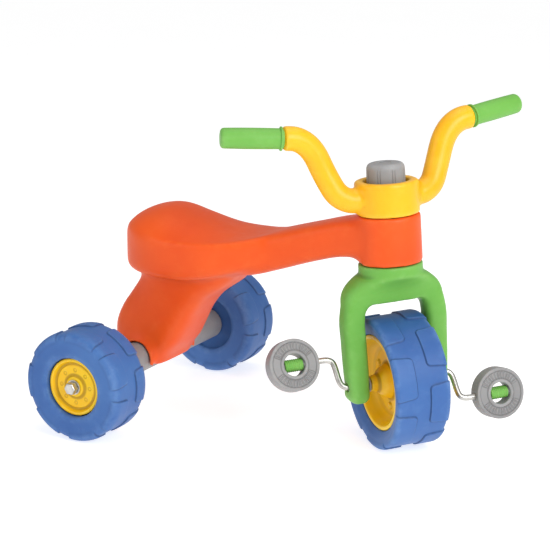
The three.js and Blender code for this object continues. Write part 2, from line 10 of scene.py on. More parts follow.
import bpy
import numpy as np
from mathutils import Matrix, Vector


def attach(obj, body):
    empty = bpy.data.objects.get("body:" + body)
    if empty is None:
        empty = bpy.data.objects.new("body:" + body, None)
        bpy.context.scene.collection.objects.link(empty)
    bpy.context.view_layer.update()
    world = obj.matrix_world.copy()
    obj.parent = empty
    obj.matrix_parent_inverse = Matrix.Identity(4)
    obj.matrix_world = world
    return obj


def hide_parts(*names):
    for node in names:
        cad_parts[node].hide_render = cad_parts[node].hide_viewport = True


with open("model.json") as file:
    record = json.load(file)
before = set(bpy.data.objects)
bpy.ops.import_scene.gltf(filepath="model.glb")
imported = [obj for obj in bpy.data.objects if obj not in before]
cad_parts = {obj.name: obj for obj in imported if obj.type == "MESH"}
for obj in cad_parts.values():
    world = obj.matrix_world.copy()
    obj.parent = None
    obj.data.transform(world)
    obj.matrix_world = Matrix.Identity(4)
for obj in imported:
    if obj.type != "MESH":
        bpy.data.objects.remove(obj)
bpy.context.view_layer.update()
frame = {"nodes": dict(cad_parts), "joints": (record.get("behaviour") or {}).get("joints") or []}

# %% [markdown]
# Sizes below are in millimetres, as they would be on a drawing. Three places fix everything else: the
# middle of the rear axle, the steering axis, and the middle of the front wheel. All are read from the
# frame's joints, so nothing has to be fitted by eye.

# %% The places that everything hangs on
MM = 0.001
CLEARANCE = 0.3  # between a piece and the hole it sits or runs in
HAIR = 0.05  # how near the axis an outline comes before its cap closes it
joints = {joint["name"]: joint for joint in frame["joints"]}


def placed(middle, forward, left, up):
    """The matrix that carries millimetres along three directions into metres about a middle."""
    matrix = np.eye(4)
    matrix[:3, 0] = np.array(forward) * MM
    matrix[:3, 1] = np.array(left) * MM
    matrix[:3, 2] = np.array(up) * MM
    matrix[:3, 3] = middle
    return matrix


def side_turned(matrix, side):
    """The same place for the left side, or turned half round its upright axis for the right side."""
    return matrix @ np.diag([side, side, 1, 1])


AXES = np.eye(3)
rear_middle = np.array(joints["rear_wheel_left_spin"]["pos_m"]) * [1, 0, 1]
wheel_middle = np.array(joints["front_wheel_spin"]["pos_m"])
steering_up = np.array(joints["steering_turn"]["axis"])
wheel_left = np.array(joints["front_wheel_spin"]["axis"])
REAR = placed(rear_middle, *AXES)
GROUND = placed(rear_middle * [1, 1, 0], *AXES)
STEERING = placed(wheel_middle, np.cross(wheel_left, steering_up), wheel_left, steering_up)
wheel_from_world = np.linalg.inv(STEERING)
print("rear axle", rear_middle, "front wheel", wheel_middle)

# %% [markdown]
# A surface starts as a grid of points: one direction runs round the piece, the other runs along it.
# Joining neighbours gives the faces. Sharp corners never leave a mould, so each outline corner is
# first traded for a short curve. These few helpers make nearly every piece.

# %% Outlines
def rounded(corners, closed=True, steps=6):
    """Each corner (across, along, reach) becomes a parabola that leaves both of its edges at the reach."""
    rows = np.array([(*corner, 0.0)[:3] for corner in corners], float)
    spots, reach = rows[:, :2], rows[:, 2]
    back, ahead = np.roll(spots, 1, 0) - spots, np.roll(spots, -1, 0) - spots
    back_length = np.maximum(np.linalg.norm(back, axis=1), 1e-9)
    ahead_length = np.maximum(np.linalg.norm(ahead, axis=1), 1e-9)
    reach = np.minimum(reach, 0.48 * np.minimum(back_length, ahead_length))
    start = spots + back * (reach / back_length)[:, None]
    end = spots + ahead * (reach / ahead_length)[:, None]
    t = np.linspace(0, 1, steps)[:, None, None]
    curve = (1 - t) ** 2 * start + 2 * t * (1 - t) * spots + t**2 * end
    line = curve.transpose(1, 0, 2).reshape(-1, 2)
    gap = np.linalg.norm(np.diff(line, axis=0, prepend=line[-1:] if closed else line[:1] - 1), axis=1)
    return line[gap > 1e-4]


def evenly(line, step):
    """The same line with points a step apart, by how far each lies along it."""
    along = np.concatenate([[0], np.cumsum(np.linalg.norm(np.diff(line, axis=0), axis=1))])
    places = np.linspace(0, along[-1], int(math.ceil(along[-1] / step)) + 1)
    return np.stack([np.interp(places, along, values) for values in line.T], axis=1)


def flowing(at, rows):
    """A smooth curve through rows of [place, value, value...]: a cubic between two rows that keeps the
    mean slope at each of them."""
    rows = np.array(rows, float)
    places, values = rows[:, 0], rows[:, 1:]
    slopes = np.gradient(values, places, axis=0)
    k = np.clip(np.searchsorted(places, at, side="right") - 1, 0, len(places) - 2)
    width = places[k + 1] - places[k]
    t = np.clip((at - places[k]) / width, 0, 1)[..., None]
    width = width[..., None]
    ends = (1 + 2 * t) * (1 - t) ** 2 * values[k] + t**2 * (3 - 2 * t) * values[k + 1]
    bends = t * (1 - t) ** 2 * slopes[k] - t**2 * (1 - t) * slopes[k + 1]
    return np.moveaxis(ends + bends * width, -1, 0)


def eased(value, low, high):
    """0 below low, 1 above high, and an S between them."""
    t = np.clip((value - low) / (high - low), 0, 1)
    return t * t * (3 - 2 * t)


def unit_squircle(angle, power):
    """cos and sin, each raised to 2/power: power 2 is a circle, and a larger one is squarer."""
    across, ahead = np.cos(angle), np.sin(angle)
    root = 2 / power
    return np.sign(across) * np.abs(across) ** root, np.sign(ahead) * np.abs(ahead) ** root


def ring_angles(count):
    return (np.arange(count) + 0.5) / count * 2 * math.pi


# %% [markdown]
# The same few moves turn rows of points into pieces: a skin over a grid, an outline turned about an
# axis, or a circle carried along a path. Each gives plain arrays, so that pieces can be placed and
# joined before Blender sees them.

# %% Grids and skins
def skin(points, ends="capped"):
    """Points in rows, each row closed round on itself. The end rows are capped with a middle point, or
    joined to each other with ends="joined". Gives the points and the faces, turned to face outwards."""
    rows, columns = points.shape[:2]
    number = np.arange(rows * columns).reshape(rows, columns)
    vertices = points.reshape(-1, 3)
    lower = number if ends == "joined" else number[:-1]
    upper = np.roll(number, -1, axis=0) if ends == "joined" else number[1:]
    quads = np.stack([lower, np.roll(lower, -1, 1), np.roll(upper, -1, 1), upper], -1).reshape(-1, 4)
    fans = np.zeros((0, 3), int)
    if ends == "capped":
        vertices = np.vstack([vertices, points[[0, -1]].mean(axis=1)])
        first, last = rows * columns, rows * columns + 1
        low, high = number[0], number[-1]
        fans = np.vstack([
            np.stack([np.full(columns, first), np.roll(low, -1), low], -1),
            np.stack([np.full(columns, last), high, np.roll(high, -1)], -1),
        ])
    triangles = np.vstack([quads[:, [0, 1, 2]], quads[:, [0, 2, 3]], fans])
    a, b, c = vertices[triangles].transpose(1, 0, 2)
    if np.einsum("ij,ij->", a, np.cross(b, c)) < 0:
        quads, fans = quads[:, ::-1], fans[:, ::-1]
    return vertices, quads, fans


def carried(surface, matrix):
    vertices, quads, fans = surface
    moved = vertices @ matrix[:3, :3].T + matrix[:3, 3]
    if np.linalg.det(matrix[:3, :3]) < 0:
        quads, fans = quads[:, ::-1], fans[:, ::-1]
    return moved, quads, fans


def turned(outline, sides=96):
    """An outline (radius, along) turned about the Y axis: radius sin a, along, radius cos a."""
    radius, along = np.asarray(outline, float).T
    angle = ring_angles(sides)
    x, z = np.outer(radius, np.sin(angle)), np.outer(radius, np.cos(angle))
    return np.stack([x, np.repeat(along[:, None], sides, 1), z], axis=-1)


def bored(corners, sides=96, steps=6):
    """A turned piece with a hole through it: its outline is a closed loop."""
    return skin(turned(rounded(corners, steps=steps), sides), "joined")


def plugged(corners, sides=96, steps=6):
    """A turned piece that is solid on its axis. Its end rows stop a hair short of the axis, and the
    caps close them."""
    outline = rounded(corners, closed=False, steps=steps)
    outline[:, 0] = np.maximum(outline[:, 0], HAIR)
    return skin(turned(outline, sides))


def rod(radius, low, high, sides=96):
    """A plain round bar along Y, used on its own or as a drill."""
    return plugged([(0, low), (radius, low), (radius, high), (0, high)], sides)


# The turning axis of a piece stood upright: what runs along Y goes up instead.
UPRIGHT = np.array([[1.0, 0, 0, 0], [0, 0, -1, 0], [0, 1, 0, 0], [0, 0, 0, 1]])


def tube(path, radius, across, sides=32):
    """A circle carried along a path: path + radius (cos a n + sin a b), where n is square to the path
    and to the direction across, and b to both."""
    heading = np.gradient(path, axis=0)
    heading /= np.linalg.norm(heading, axis=1)[:, None]
    one = np.cross(heading, across)
    one /= np.linalg.norm(one, axis=1)[:, None]
    two = np.cross(heading, one)
    angle = ring_angles(sides)[None, :, None]
    radius = np.broadcast_to(radius, len(path))[:, None, None]
    return path[:, None] + radius * (np.cos(angle) * one[:, None] + np.sin(angle) * two[:, None])


def together(*skins):
    """Several skins as one list of points and faces."""
    starts = np.cumsum([0] + [len(vertices) for vertices, _, _ in skins[:-1]])
    return (
        np.vstack([vertices for vertices, _, _ in skins]),
        np.vstack([quads + start for (_, quads, _), start in zip(skins, starts)]),
        np.vstack([fans + start for (_, _, fans), start in zip(skins, starts)]),
    )


def made(name, surface):
    """A Blender object from a skin, at the origin, with its place in its mesh."""
    vertices, quads, fans = surface
    mesh = bpy.data.meshes.new(name)
    mesh.from_pydata(vertices.tolist(), [], quads.tolist() + fans.tolist())
    piece = bpy.data.objects.new(name, mesh)
    bpy.context.scene.collection.objects.link(piece)
    return piece


# %% [markdown]
# A blow-moulded shell has no seams where its lobes meet: the plastic flows from one into the next.
# Drawing one closed formula for that is hard, so each lobe is its own surface, and the lobes are then
# fused: Blender's voxel remesh wraps one even net round them all, and the net is relaxed, a little
# everywhere and much more in the hollows, which leaves the broad fillets of a real moulding.

# %% Fusing and relaxing
def apply_modifiers(piece):
    graph = bpy.context.evaluated_depsgraph_get()
    before = piece.data
    piece.data = bpy.data.meshes.new_from_object(piece.evaluated_get(graph))
    piece.modifiers.clear()
    bpy.data.meshes.remove(before)


def remesh(piece, size):
    modifier = piece.modifiers.new("even net", "REMESH")
    modifier.mode = "VOXEL"
    modifier.voxel_size = size * MM
    apply_modifiers(piece)


def cut_away(piece, tool):
    cutter = made("cutter", tool)
    modifier = piece.modifiers.new("cut", "BOOLEAN")
    modifier.operation = "DIFFERENCE"
    modifier.solver = "EXACT"
    modifier.object = cutter
    apply_modifiers(piece)
    bpy.data.objects.remove(cutter)


def net(mesh):
    """The mesh's points, edges, and how many neighbours each point has."""
    points = np.empty(len(mesh.vertices) * 3)
    mesh.vertices.foreach_get("co", points)
    edges = np.empty(len(mesh.edges) * 2, np.int32)
    mesh.edges.foreach_get("vertices", edges)
    edges = edges.reshape(-1, 2)
    neighbours = np.bincount(edges.ravel(), minlength=len(mesh.vertices))
    return points.reshape(-1, 3), edges, np.maximum(neighbours, 1)


def neighbour_mean(values, edges, neighbours):
    """The mean of each point's neighbours, column by column."""
    one, two = edges.T
    columns = [
        np.bincount(one, column[two], len(values)) + np.bincount(two, column[one], len(values))
        for column in values.T
    ]
    return np.stack(columns, axis=1) / neighbours[:, None]


def mean_over_edges(values, edges, neighbours):
    """The mean, at each point, of a value that every edge has."""
    one, two = (np.bincount(ends, values, len(neighbours)) for ends in edges.T)
    return (one + two) / neighbours


def curvature(mesh):
    """How sharply the surface bends at each point, per millimetre: above 0 on edges, below 0 in
    hollows. It is how far a point stands out from its neighbours' mean, against their distance."""
    points, edges, neighbours = net(mesh)
    normals = np.empty(len(points) * 3, np.float32)
    mesh.vertices.foreach_get("normal", normals)
    out = points - neighbour_mean(points, edges, neighbours)
    length2 = ((points[edges[:, 0]] - points[edges[:, 1]]) ** 2).sum(axis=1)
    spread = mean_over_edges(length2, edges, neighbours)
    bend = 4 * np.einsum("ij,ij->i", out, normals.reshape(-1, 3)) / np.maximum(spread, 1e-12)
    return bend * MM, edges, neighbours


def relax(piece, rounds, weight=None):
    """Moves every point half way to its neighbours' mean, again and again, as far as its weight says."""
    points, edges, neighbours = net(piece.data)
    share = 0.5 if weight is None else 0.5 * weight[:, None]
    for _ in range(rounds):
        points += share * (neighbour_mean(points, edges, neighbours) - points)
    piece.data.vertices.foreach_set("co", points.ravel())
    piece.data.update()


def hollow_weight(piece, sharp=0.03, spread=8):
    """1 in a hollow that bends more tightly than a radius of 1/sharp mm, fading out around it."""
    bend, edges, neighbours = curvature(piece.data)
    weight = np.clip(-bend / sharp - 0.3, 0, 1)[:, None]
    for _ in range(spread):
        weight = np.maximum(weight, 1.25 * neighbour_mean(weight, edges, neighbours))
        weight = np.clip(weight, 0, 1)
    return weight[:, 0]


def fused(name, lobes, size, ease, fillet, soft_cuts=(), clean_cuts=(), where=None):
    """Lobes wrapped in one net of the given size, cut, relaxed, and cut again where edges stay crisp.
    `where` turns points into the share of the fillet that each of them gets."""
    piece = made(name, together(*lobes))
    remesh(piece, size)
    for tool in soft_cuts:
        cut_away(piece, tool)
    if soft_cuts:
        remesh(piece, size)
    relax(piece, ease)
    weight = hollow_weight(piece)
    if where is not None:
        weight = weight * where(net(piece.data)[0])
    relax(piece, fillet, weight)
    relax(piece, 2)
    for tool in clean_cuts:
        cut_away(piece, tool)
    print(name, len(piece.data.vertices), "points")
    return piece


# %% [markdown]
# Toy mouldings are dyed right through, so their colour is even, yet never flat. Polyethylene clouds a
# little where it cooled slowly, the tool leaves a fine orange-peel grain, hands polish some areas and
# scuff others, and edges wear paler. The grain and clouds are noise read in the object's own space, so
# they stay fixed to the piece as it moves. The wear, and a painted shade in the hollows, follow a value
# measured on the mesh: how sharply it bends.

# %% Wear and painted shade marks on the mesh
def mark_wear_and_shade(piece):
    """Writes two values to every point: rub on the outer edges, for wear, and nook in the hollows, for a
    painted shade on the plastics and a darker tint on the steel.
    """
    bend, edges, neighbours = curvature(piece.data)
    marks = np.stack([np.clip(bend / 0.25, 0, 1), np.clip(-bend / 0.15, 0, 1)], axis=1)
    for _ in range(3):
        marks = 0.5 * marks + 0.5 * neighbour_mean(marks, edges, neighbours)
    for name, values in zip(("rub", "nook"), marks.T):
        layer = piece.data.attributes.new(name, "FLOAT", "POINT")
        layer.data.foreach_set("value", values.astype(np.float32))


# %% [markdown]
# A material is a chain of small steps, such as noise, a range, or a mix of two colours. One function
# for each kind of step keeps the chains below short enough to read.

# %% Small steps for building a material
def linear(red, green, blue):
    """A colour as read off a paint card, 0 to 255, in the straight light values that shaders use."""
    share = np.array([red, green, blue]) / 255
    light = np.where(share <= 0.04045, share / 12.92, ((share + 0.055) / 1.055) ** 2.4)
    return (*light.tolist(), 1.0)


def step(tree, kind, **settings):
    node = tree.nodes.new(kind)
    for name, value in settings.items():
        setattr(node, name, value)
    return node


def noise(tree, place, scale, detail=2.0, roughness=0.5, distortion=0.0):
    node = step(tree, "ShaderNodeTexNoise")
    tree.links.new(place, node.inputs["Vector"])
    values = {"Scale": scale, "Detail": detail, "Roughness": roughness, "Distortion": distortion}
    for name, value in values.items():
        node.inputs[name].default_value = value
    return node.outputs[0]


def stretched(tree, place, scale, turn=(0, 0, 0)):
    node = step(tree, "ShaderNodeMapping")
    tree.links.new(place, node.inputs["Vector"])
    node.inputs["Scale"].default_value = scale
    node.inputs["Rotation"].default_value = turn
    return node.outputs[0]


def spread(tree, value, low, high, to_low=0.0, to_high=1.0):
    node = step(tree, "ShaderNodeMapRange")
    tree.links.new(value, node.inputs["Value"])
    for place, number in zip((1, 2, 3, 4), (low, high, to_low, to_high)):
        node.inputs[place].default_value = number
    return node.outputs[0]


def sum_of(tree, one, two, operation="ADD"):
    node = step(tree, "ShaderNodeMath", operation=operation)
    for place, value in enumerate((one, two)):
        if isinstance(value, (int, float)):
            node.inputs[place].default_value = value
        else:
            tree.links.new(value, node.inputs[place])
    return node.outputs[0]


def tinted(tree, share, one, two):
    """A mix of two colours, each a fixed colour or another step's output."""
    node = step(tree, "ShaderNodeMix", data_type="RGBA")
    tree.links.new(share, node.inputs[0])
    for place, colour in ((6, one), (7, two)):
        if isinstance(colour, tuple):
            node.inputs[place].default_value = colour
        else:
            tree.links.new(colour, node.inputs[place])
    return node.outputs[2]


def bumped(tree, height, depth, strength=1.0, under=None):
    """Shading relief: depth is in millimetres, from the lowest to the highest part of the pattern."""
    node = step(tree, "ShaderNodeBump")
    node.inputs["Strength"].default_value = strength
    node.inputs["Distance"].default_value = depth * MM
    tree.links.new(height, node.inputs["Height"])
    if under is not None:
        tree.links.new(under, node.inputs["Normal"])
    return node.outputs["Normal"]


def measured(tree, name):
    return step(tree, "ShaderNodeAttribute", attribute_name=name).outputs["Fac"]


# %% [markdown]
# All the plastics share one chain: the dye, clouded and mottled, with a painted shade in the hollows,
# and paler where it is rubbed or scratched, under a fine relief. Only the dye, the gloss and the depth of
# grain differ.

# %% Moulded plastic
def moulded(name, colour, deep, pale, gloss, grain=0.05, peel=0.04, coat=0.0):
    """Plastic of one dye. deep and pale are the dye where it is thick and where it is worn. grain and
    peel are the depths of its fine and broad relief in millimetres."""
    material = bpy.data.materials.new(name)
    material.use_nodes = True
    tree = material.node_tree
    shader = tree.nodes["Principled BSDF"]
    place = step(tree, "ShaderNodeTexCoord").outputs["Object"]
    clouds = noise(tree, place, 7.0, 4.0, 0.55)
    mottle = noise(tree, place, 46.0, 5.0, 0.65, 0.4)
    speck = noise(tree, place, 900.0, 2.0)
    scratches = noise(tree, stretched(tree, place, (420, 38, 300), (0.4, 0.9, 0.3)), 1.0, 3.0, 0.6, 1.2)
    body = tinted(tree, spread(tree, clouds, 0.35, 0.68), linear(*deep), linear(*colour))
    body = tinted(tree, spread(tree, mottle, 0.52, 0.8, 0.0, 0.12), body, linear(*pale))
    body = tinted(tree, spread(tree, speck, 0.62, 0.75, 0.0, 0.12), body, linear(*deep))
    # Painted shade: the hollows, and the feet of the tyre pads, are tinted towards a darker dye by the nook
    # mark.
    shade = tuple(0.4 * value for value in linear(*deep)[:3]) + (1.0,)
    body = tinted(tree, spread(tree, measured(tree, "nook"), 0.1, 1.0, 0.0, 0.7), body, shade)
    scuff = spread(tree, scratches, 0.66, 0.74)
    rub = sum_of(tree, measured(tree, "rub"), spread(tree, mottle, 0.35, 0.65), "MULTIPLY")
    wear = spread(tree, sum_of(tree, rub, sum_of(tree, scuff, 0.12, "MULTIPLY")), 0.0, 1.0, 0.0, 0.36)
    tree.links.new(tinted(tree, wear, body, linear(*pale)), shader.inputs["Base Color"])
    dull = spread(tree, mottle, 0.3, 0.7, gloss - 0.05, gloss + 0.07)
    dull = sum_of(tree, dull, sum_of(tree, wear, 0.25, "MULTIPLY"))
    tree.links.new(dull, shader.inputs["Roughness"])
    relief = bumped(tree, noise(tree, place, 260.0, 2.0), peel)
    relief = bumped(tree, noise(tree, place, 1500.0, 3.0, 0.6), grain, 0.6, relief)
    relief = bumped(tree, scuff, 0.03, 0.35, relief)
    tree.links.new(relief, shader.inputs["Normal"])
    shader.inputs["Coat Weight"].default_value = coat
    shader.inputs["Coat Roughness"].default_value = 0.28
    shader.inputs["Specular IOR Level"].default_value = 0.28
    shader.inputs["Subsurface Weight"].default_value = 0.06
    shader.inputs["Subsurface Scale"].default_value = 0.004
    return material


orange = moulded(
    "orange_polyethylene",
    colour=(236, 88, 22),
    deep=(226, 76, 16),
    pale=(248, 130, 66),
    gloss=0.42,
)
yellow = moulded(
    "yellow_polyethylene",
    colour=(249, 190, 22),
    deep=(240, 172, 14),
    pale=(255, 214, 92),
    gloss=0.36,
    grain=0.03,
    peel=0.03,
    coat=0.12,
)
lemon = moulded(
    "lemon_polypropylene",
    colour=(250, 206, 6),
    deep=(238, 180, 2),
    pale=(255, 226, 90),
    gloss=0.34,
    grain=0.03,
    peel=0.03,
    coat=0.15,
)
green = moulded(
    "green_polyethylene",
    colour=(116, 180, 80),
    deep=(102, 168, 68),
    pale=(158, 206, 126),
    gloss=0.44,
)
blue = moulded(
    "blue_polyethylene",
    colour=(68, 110, 172),
    deep=(54, 94, 158),
    pale=(122, 158, 206),
    gloss=0.46,
    grain=0.06,
    peel=0.06,
)
grey = moulded(
    "grey_polyethylene",
    colour=(150, 149, 149),
    deep=(136, 135, 136),
    pale=(188, 187, 186),
    gloss=0.40,
    grain=0.04,
    peel=0.03,
)


# %% [markdown]
# The crank, the axle, and its nuts are plated steel. Plating is bright but never a mirror: drawing and
# tumbling leave fine hair lines and small dull clouds. A metal shader with noise in its roughness shows
# them, because its colour is only what it reflects.

# %% Plated steel
def plated(name, bright, dull, gloss):
    material = bpy.data.materials.new(name)
    material.use_nodes = True
    tree = material.node_tree
    shader = tree.nodes["Principled BSDF"]
    place = step(tree, "ShaderNodeTexCoord").outputs["Object"]
    clouds = noise(tree, place, 60.0, 4.0, 0.6)
    hairs = noise(tree, stretched(tree, place, (900, 60, 900)), 1.0, 3.0, 0.6)
    body = tinted(tree, spread(tree, clouds, 0.4, 0.7), linear(*bright), linear(*dull))
    # Darker and browner in the hollows, by the nook mark.
    hollow_tint = spread(tree, measured(tree, "nook"), 0.0, 1.0, 0.0, 0.5)
    body = tinted(tree, hollow_tint, body, linear(120, 112, 104))
    tree.links.new(body, shader.inputs["Base Color"])
    streaks = spread(tree, hairs, 0.3, 0.7, -0.04, 0.08)
    streaks = sum_of(tree, streaks, spread(tree, clouds, 0.3, 0.7, gloss, gloss + 0.1))
    tree.links.new(streaks, shader.inputs["Roughness"])
    tree.links.new(bumped(tree, hairs, 0.01, 0.5), shader.inputs["Normal"])
    shader.inputs["Metallic"].default_value = 1.0
    return material


steel = plated("bright_plated_steel", (206, 204, 199), (176, 174, 169), 0.3)


# %% [markdown]
# Every piece ends in the same way: smooth shading, its finish, its wear, and the hollow marks that give
# the plastics a painted shade. Then it is hung on the body it moves with, and the plain part it stands for
# is hidden.

# %% Handing a finished piece to the frame
def dressed(piece, material):
    """Shades the piece smooth, gives it its material, and marks its wear and its painted shade."""
    mesh = piece.data
    mesh.polygons.foreach_set("use_smooth", np.ones(len(mesh.polygons), bool))
    mesh.materials.clear()
    mesh.materials.append(material)
    mark_wear_and_shade(piece)


def hand_over(piece, body, material, slot, *nodes):
    """Dresses the piece, hangs it on the body it rides on, and hides the plain parts it stands for. The
    slot is not used.
    """
    dressed(piece, material)
    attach(piece, body)
    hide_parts(*nodes)


# %% [markdown]
# ## Seat, beam and column
# One orange shell carries the rider. Its seat is a saddle: high and round behind, dished where the
# rider sits, and narrow in front. Seen from above its edge is a squircle, rounder in front than behind.
# A share s from 0 at the middle to 1 at the edge fills that outline, and the height is the rim's height
# plus a crown that fades as (1 - s^2.2)^p. The power p is a half behind, which gives a full round dome
# that drops straight at the edge, and 1 in front, which gives a plain shallow dish.

# %% The seat
SEAT_MIDDLE, SEAT_BACK, SEAT_FRONT, SEAT_HALF_WIDTH = 70, 106, 190, 92
SEAT_CROWN = [
    [-40, 304, 28],
    [-8, 306, 41],
    [32, 305, 45],
    [81, 303, 35],
    [140, 305, 18],
    [200, 313, 6],
    [262, 331, 2],
]
UNDERSIDE_LOW, UNDERSIDE_RISE = 240, 28
BELLY_REACH = 16  # the rounding between the seat's wall and its underside
BELLY_EDGE, BELLY_TURN = 0.84, 0.16  # shares of the way out: the plain underside, and that rounding
RIM_DROP = 7


def seat_surface(sides=260):
    """Rows go from the middle of the underside, out, up the wall, over the rim, and in to the crown.
    x = middle + s length u(a), y = s width v(a)."""
    angle = ring_angles(sides)
    ahead = np.cos(angle) > 0
    u, v = unit_squircle(angle, np.where(ahead, 1.95, 2.2))
    length = np.where(ahead, SEAT_FRONT, SEAT_BACK)

    def row(share, height):
        x = SEAT_MIDDLE + share * length * u
        return np.stack([x, share * SEAT_HALF_WIDTH * v, height(x, share)], axis=-1)

    def underside(x, _):
        return UNDERSIDE_LOW + UNDERSIDE_RISE * eased(x, 90, 262)

    def top(x, share):
        rim, rise = flowing(x, SEAT_CROWN)
        fullness = 0.5 + 0.5 * eased(x, -30, 90)
        return rim + rise * (1 - share**2.2) ** fullness

    def wall(x, climb):
        foot, head = underside(x, 1) + BELLY_REACH, top(x, 1) - RIM_DROP
        return (1 - climb) * foot + climb * head

    rows = [row(share, underside) for share in np.linspace(0.1, BELLY_EDGE, 10)]
    for turn in np.linspace(0.15, 1, 8) * math.pi / 2:
        lift = BELLY_REACH * (1 - math.cos(turn))
        rows.append(row(BELLY_EDGE + BELLY_TURN * math.sin(turn), lambda x, s: underside(x, s) + lift))
    for climb in np.linspace(0.1, 1, 12):
        rows.append(row(1.0, lambda x, _: wall(x, climb)))
    for turn in np.linspace(0.2, 1, 5):
        rows.append(row(1 - 0.035 * turn**2, lambda x, s: top(x, s) - RIM_DROP * (1 - turn) ** 1.6))
    rows += [row(share, top) for share in np.sin(np.linspace(1.29, 0.03, 44))]
    return skin(np.array(rows))


# %% [markdown]
# The beam and the column are lofts: a squircle section whose middle, depth and width flow from station
# to station. The beam rises to the steering head. The column leans forward from the rear axle and
# widens into the seat.

# %% Beam, column and head
# Forwards from the rear axle, half width, underside, top.
BEAM = [
    [150, 60, 247, 304],
    [205, 52, 251, 314],
    [255, 44, 266, 330],
    [310, 39.5, 285, 346],
    [360, 39, 299, 360],
    [424, 46, 303, 369],
]
# Height above the ground, middle, half depth, half width.
COLUMN = [
    [78, -2, 40, 61],
    [90, -2, 46, 62],
    [114, 5, 58, 62],
    [142, 12, 67, 60],
    [172, 26, 70, 56],
    [198, 46, 72, 54],
    [226, 74.5, 81.5, 58],
    [264, 92, 95, 64],
]
SQUARENESS = 4.2
HEAD_RADIUS, HEAD_BORE, HEAD_LOW, HEAD_HEIGHT = 50.5, 44, 190.7, 75.9
SADDLE_RADIUS, SADDLE_WEB, AXLE_RADIUS = 27.5, 22, 5
AXLE_BORE = AXLE_RADIUS + CLEARANCE


def beam_surface():
    x = np.linspace(BEAM[0][0], BEAM[-1][0], 90)
    half_width, low, high = (values[:, None] for values in flowing(x, BEAM))
    u, v = unit_squircle(ring_angles(120), SQUARENESS)
    y = half_width * u
    z = (high + low) / 2 + v * (high - low) / 2
    return skin(np.stack([np.broadcast_to(x[:, None], y.shape), y, z], axis=-1))


def column_surface():
    z = np.linspace(COLUMN[0][0], COLUMN[-1][0], 90)
    middle, half_depth, half_width = (values[:, None] for values in flowing(z, COLUMN))
    u, v = unit_squircle(ring_angles(140), SQUARENESS)
    x = middle + half_depth * u
    return skin(np.stack([x, half_width * v, np.broadcast_to(z[:, None], x.shape)], axis=-1))


def upright_rod(radius, low, high, sides=96):
    return carried(rod(radius, low, high, sides), UPRIGHT)


def upright_ring(inner, outer, low, high, sides=96):
    return carried(bored([(inner, low), (outer, low), (outer, high), (inner, high)], sides), UPRIGHT)


def axle_arch(side):
    """The space over a spacer, from the web outwards."""
    ends = (SADDLE_WEB, 90) if side > 0 else (-90, -SADDLE_WEB)
    return carried(rod(SADDLE_RADIUS, *ends, 64), REAR)


def arch_lip(side):
    """A bead round the mouth of the arch, which hugs the spacer: x = r cos a, z = r sin a."""
    angle = np.radians(np.linspace(-18, 198, 70))
    reach = SADDLE_RADIUS + 4
    path = np.stack([reach * np.cos(angle), np.full(70, side * 63.5), reach * np.sin(angle)], axis=1)
    return skin(tube(path, 5.0, np.array([0.0, 1.0, 0.0]), 24))


shell = fused(
    "seat_beam_and_column",
    [
        carried(seat_surface(), GROUND),
        carried(beam_surface(), GROUND),
        carried(column_surface(), GROUND),
        carried(upright_rod(HEAD_RADIUS, HEAD_LOW, HEAD_LOW + HEAD_HEIGHT), STEERING),
        carried(arch_lip(1), REAR),
        carried(arch_lip(-1), REAR),
    ],
    size=2.2,
    ease=7,
    fillet=90,
    soft_cuts=[axle_arch(1), axle_arch(-1)],
    clean_cuts=[
        carried(upright_rod(HEAD_BORE, HEAD_LOW - 9, HEAD_LOW + HEAD_HEIGHT + 9), STEERING),
        carried(rod(AXLE_BORE, -40, 40, 32), REAR),
    ],
)
# The rim of the seat runs on into the upper edges of the beam, so the net is relaxed there once more.
forward_of_axle = (net(shell.data)[0][:, 0] - rear_middle[0]) / MM
relax(shell, 24, eased(forward_of_axle, 175, 215) * (1 - eased(forward_of_axle, 262, 300)))
hand_over(shell, "frame", orange, "orange_plastic", "body_shell")

# %% [markdown]
# ## Fork
# The green fork is one moulding as well: a round neck under the head that spreads into square
# shoulders and runs down into two legs. The crown is a loft whose squircle goes from a circle to a
# square, and each leg is a loft between its inner and outer face.

# %% Crown, legs and stem
STEM_RADIUS, STEM_TOP, BOLT_BORE = 16, HEAD_LOW + 108.7, 5.3
LEG_OUTER, LEG_INNER, LEG_DEPTH, LEG_LOW = 84, 51, 20, -26
LEG_SWELL = 3  # how far the leg's outer face stands out above the wheel's middle
CROTCH, CROTCH_RADIUS, CROWN_TOP = 130, 19, HEAD_LOW - 0.7
# Height, middle, half depth, half width, squareness.
CROWN = [
    [130, -1, 22, 84, 4],
    [142, -3, 27, 82, 3.6],
    [155, -4, 34, 75, 3],
    [165, -3, 43, 64.5, 2.4],
    [170.5, -1, 48, 57, 2.15],
    [173.5, 0, 50.2, 51.5, 2.05],
    [178, 0, HEAD_RADIUS, HEAD_RADIUS, 2],
    [CROWN_TOP, 0, HEAD_RADIUS, HEAD_RADIUS, 2],
]
# Height, inner face, outer face, half depth.
LEG = [
    [LEG_LOW, LEG_INNER + 6, LEG_OUTER - 7, LEG_DEPTH - 5],
    [LEG_LOW + 5, LEG_INNER + 2, LEG_OUTER - 2, LEG_DEPTH - 1],
    [0, LEG_INNER, LEG_OUTER, LEG_DEPTH],
    [70, LEG_INNER, LEG_OUTER + LEG_SWELL, LEG_DEPTH],
    [CROTCH - CROTCH_RADIUS, LEG_INNER, LEG_OUTER + LEG_SWELL, LEG_DEPTH],
    *(
        [
            CROTCH - CROTCH_RADIUS * (1 - math.sin(turn)),
            LEG_INNER - CROTCH_RADIUS * (1 - math.cos(turn)),
            LEG_OUTER + LEG_SWELL - LEG_SWELL * math.sin(turn),
            LEG_DEPTH,
        ]
        for turn in np.radians([20, 35, 50, 65, 78])
    ),
    [140, LEG_INNER - CROTCH_RADIUS, LEG_OUTER - 3, LEG_DEPTH],
]
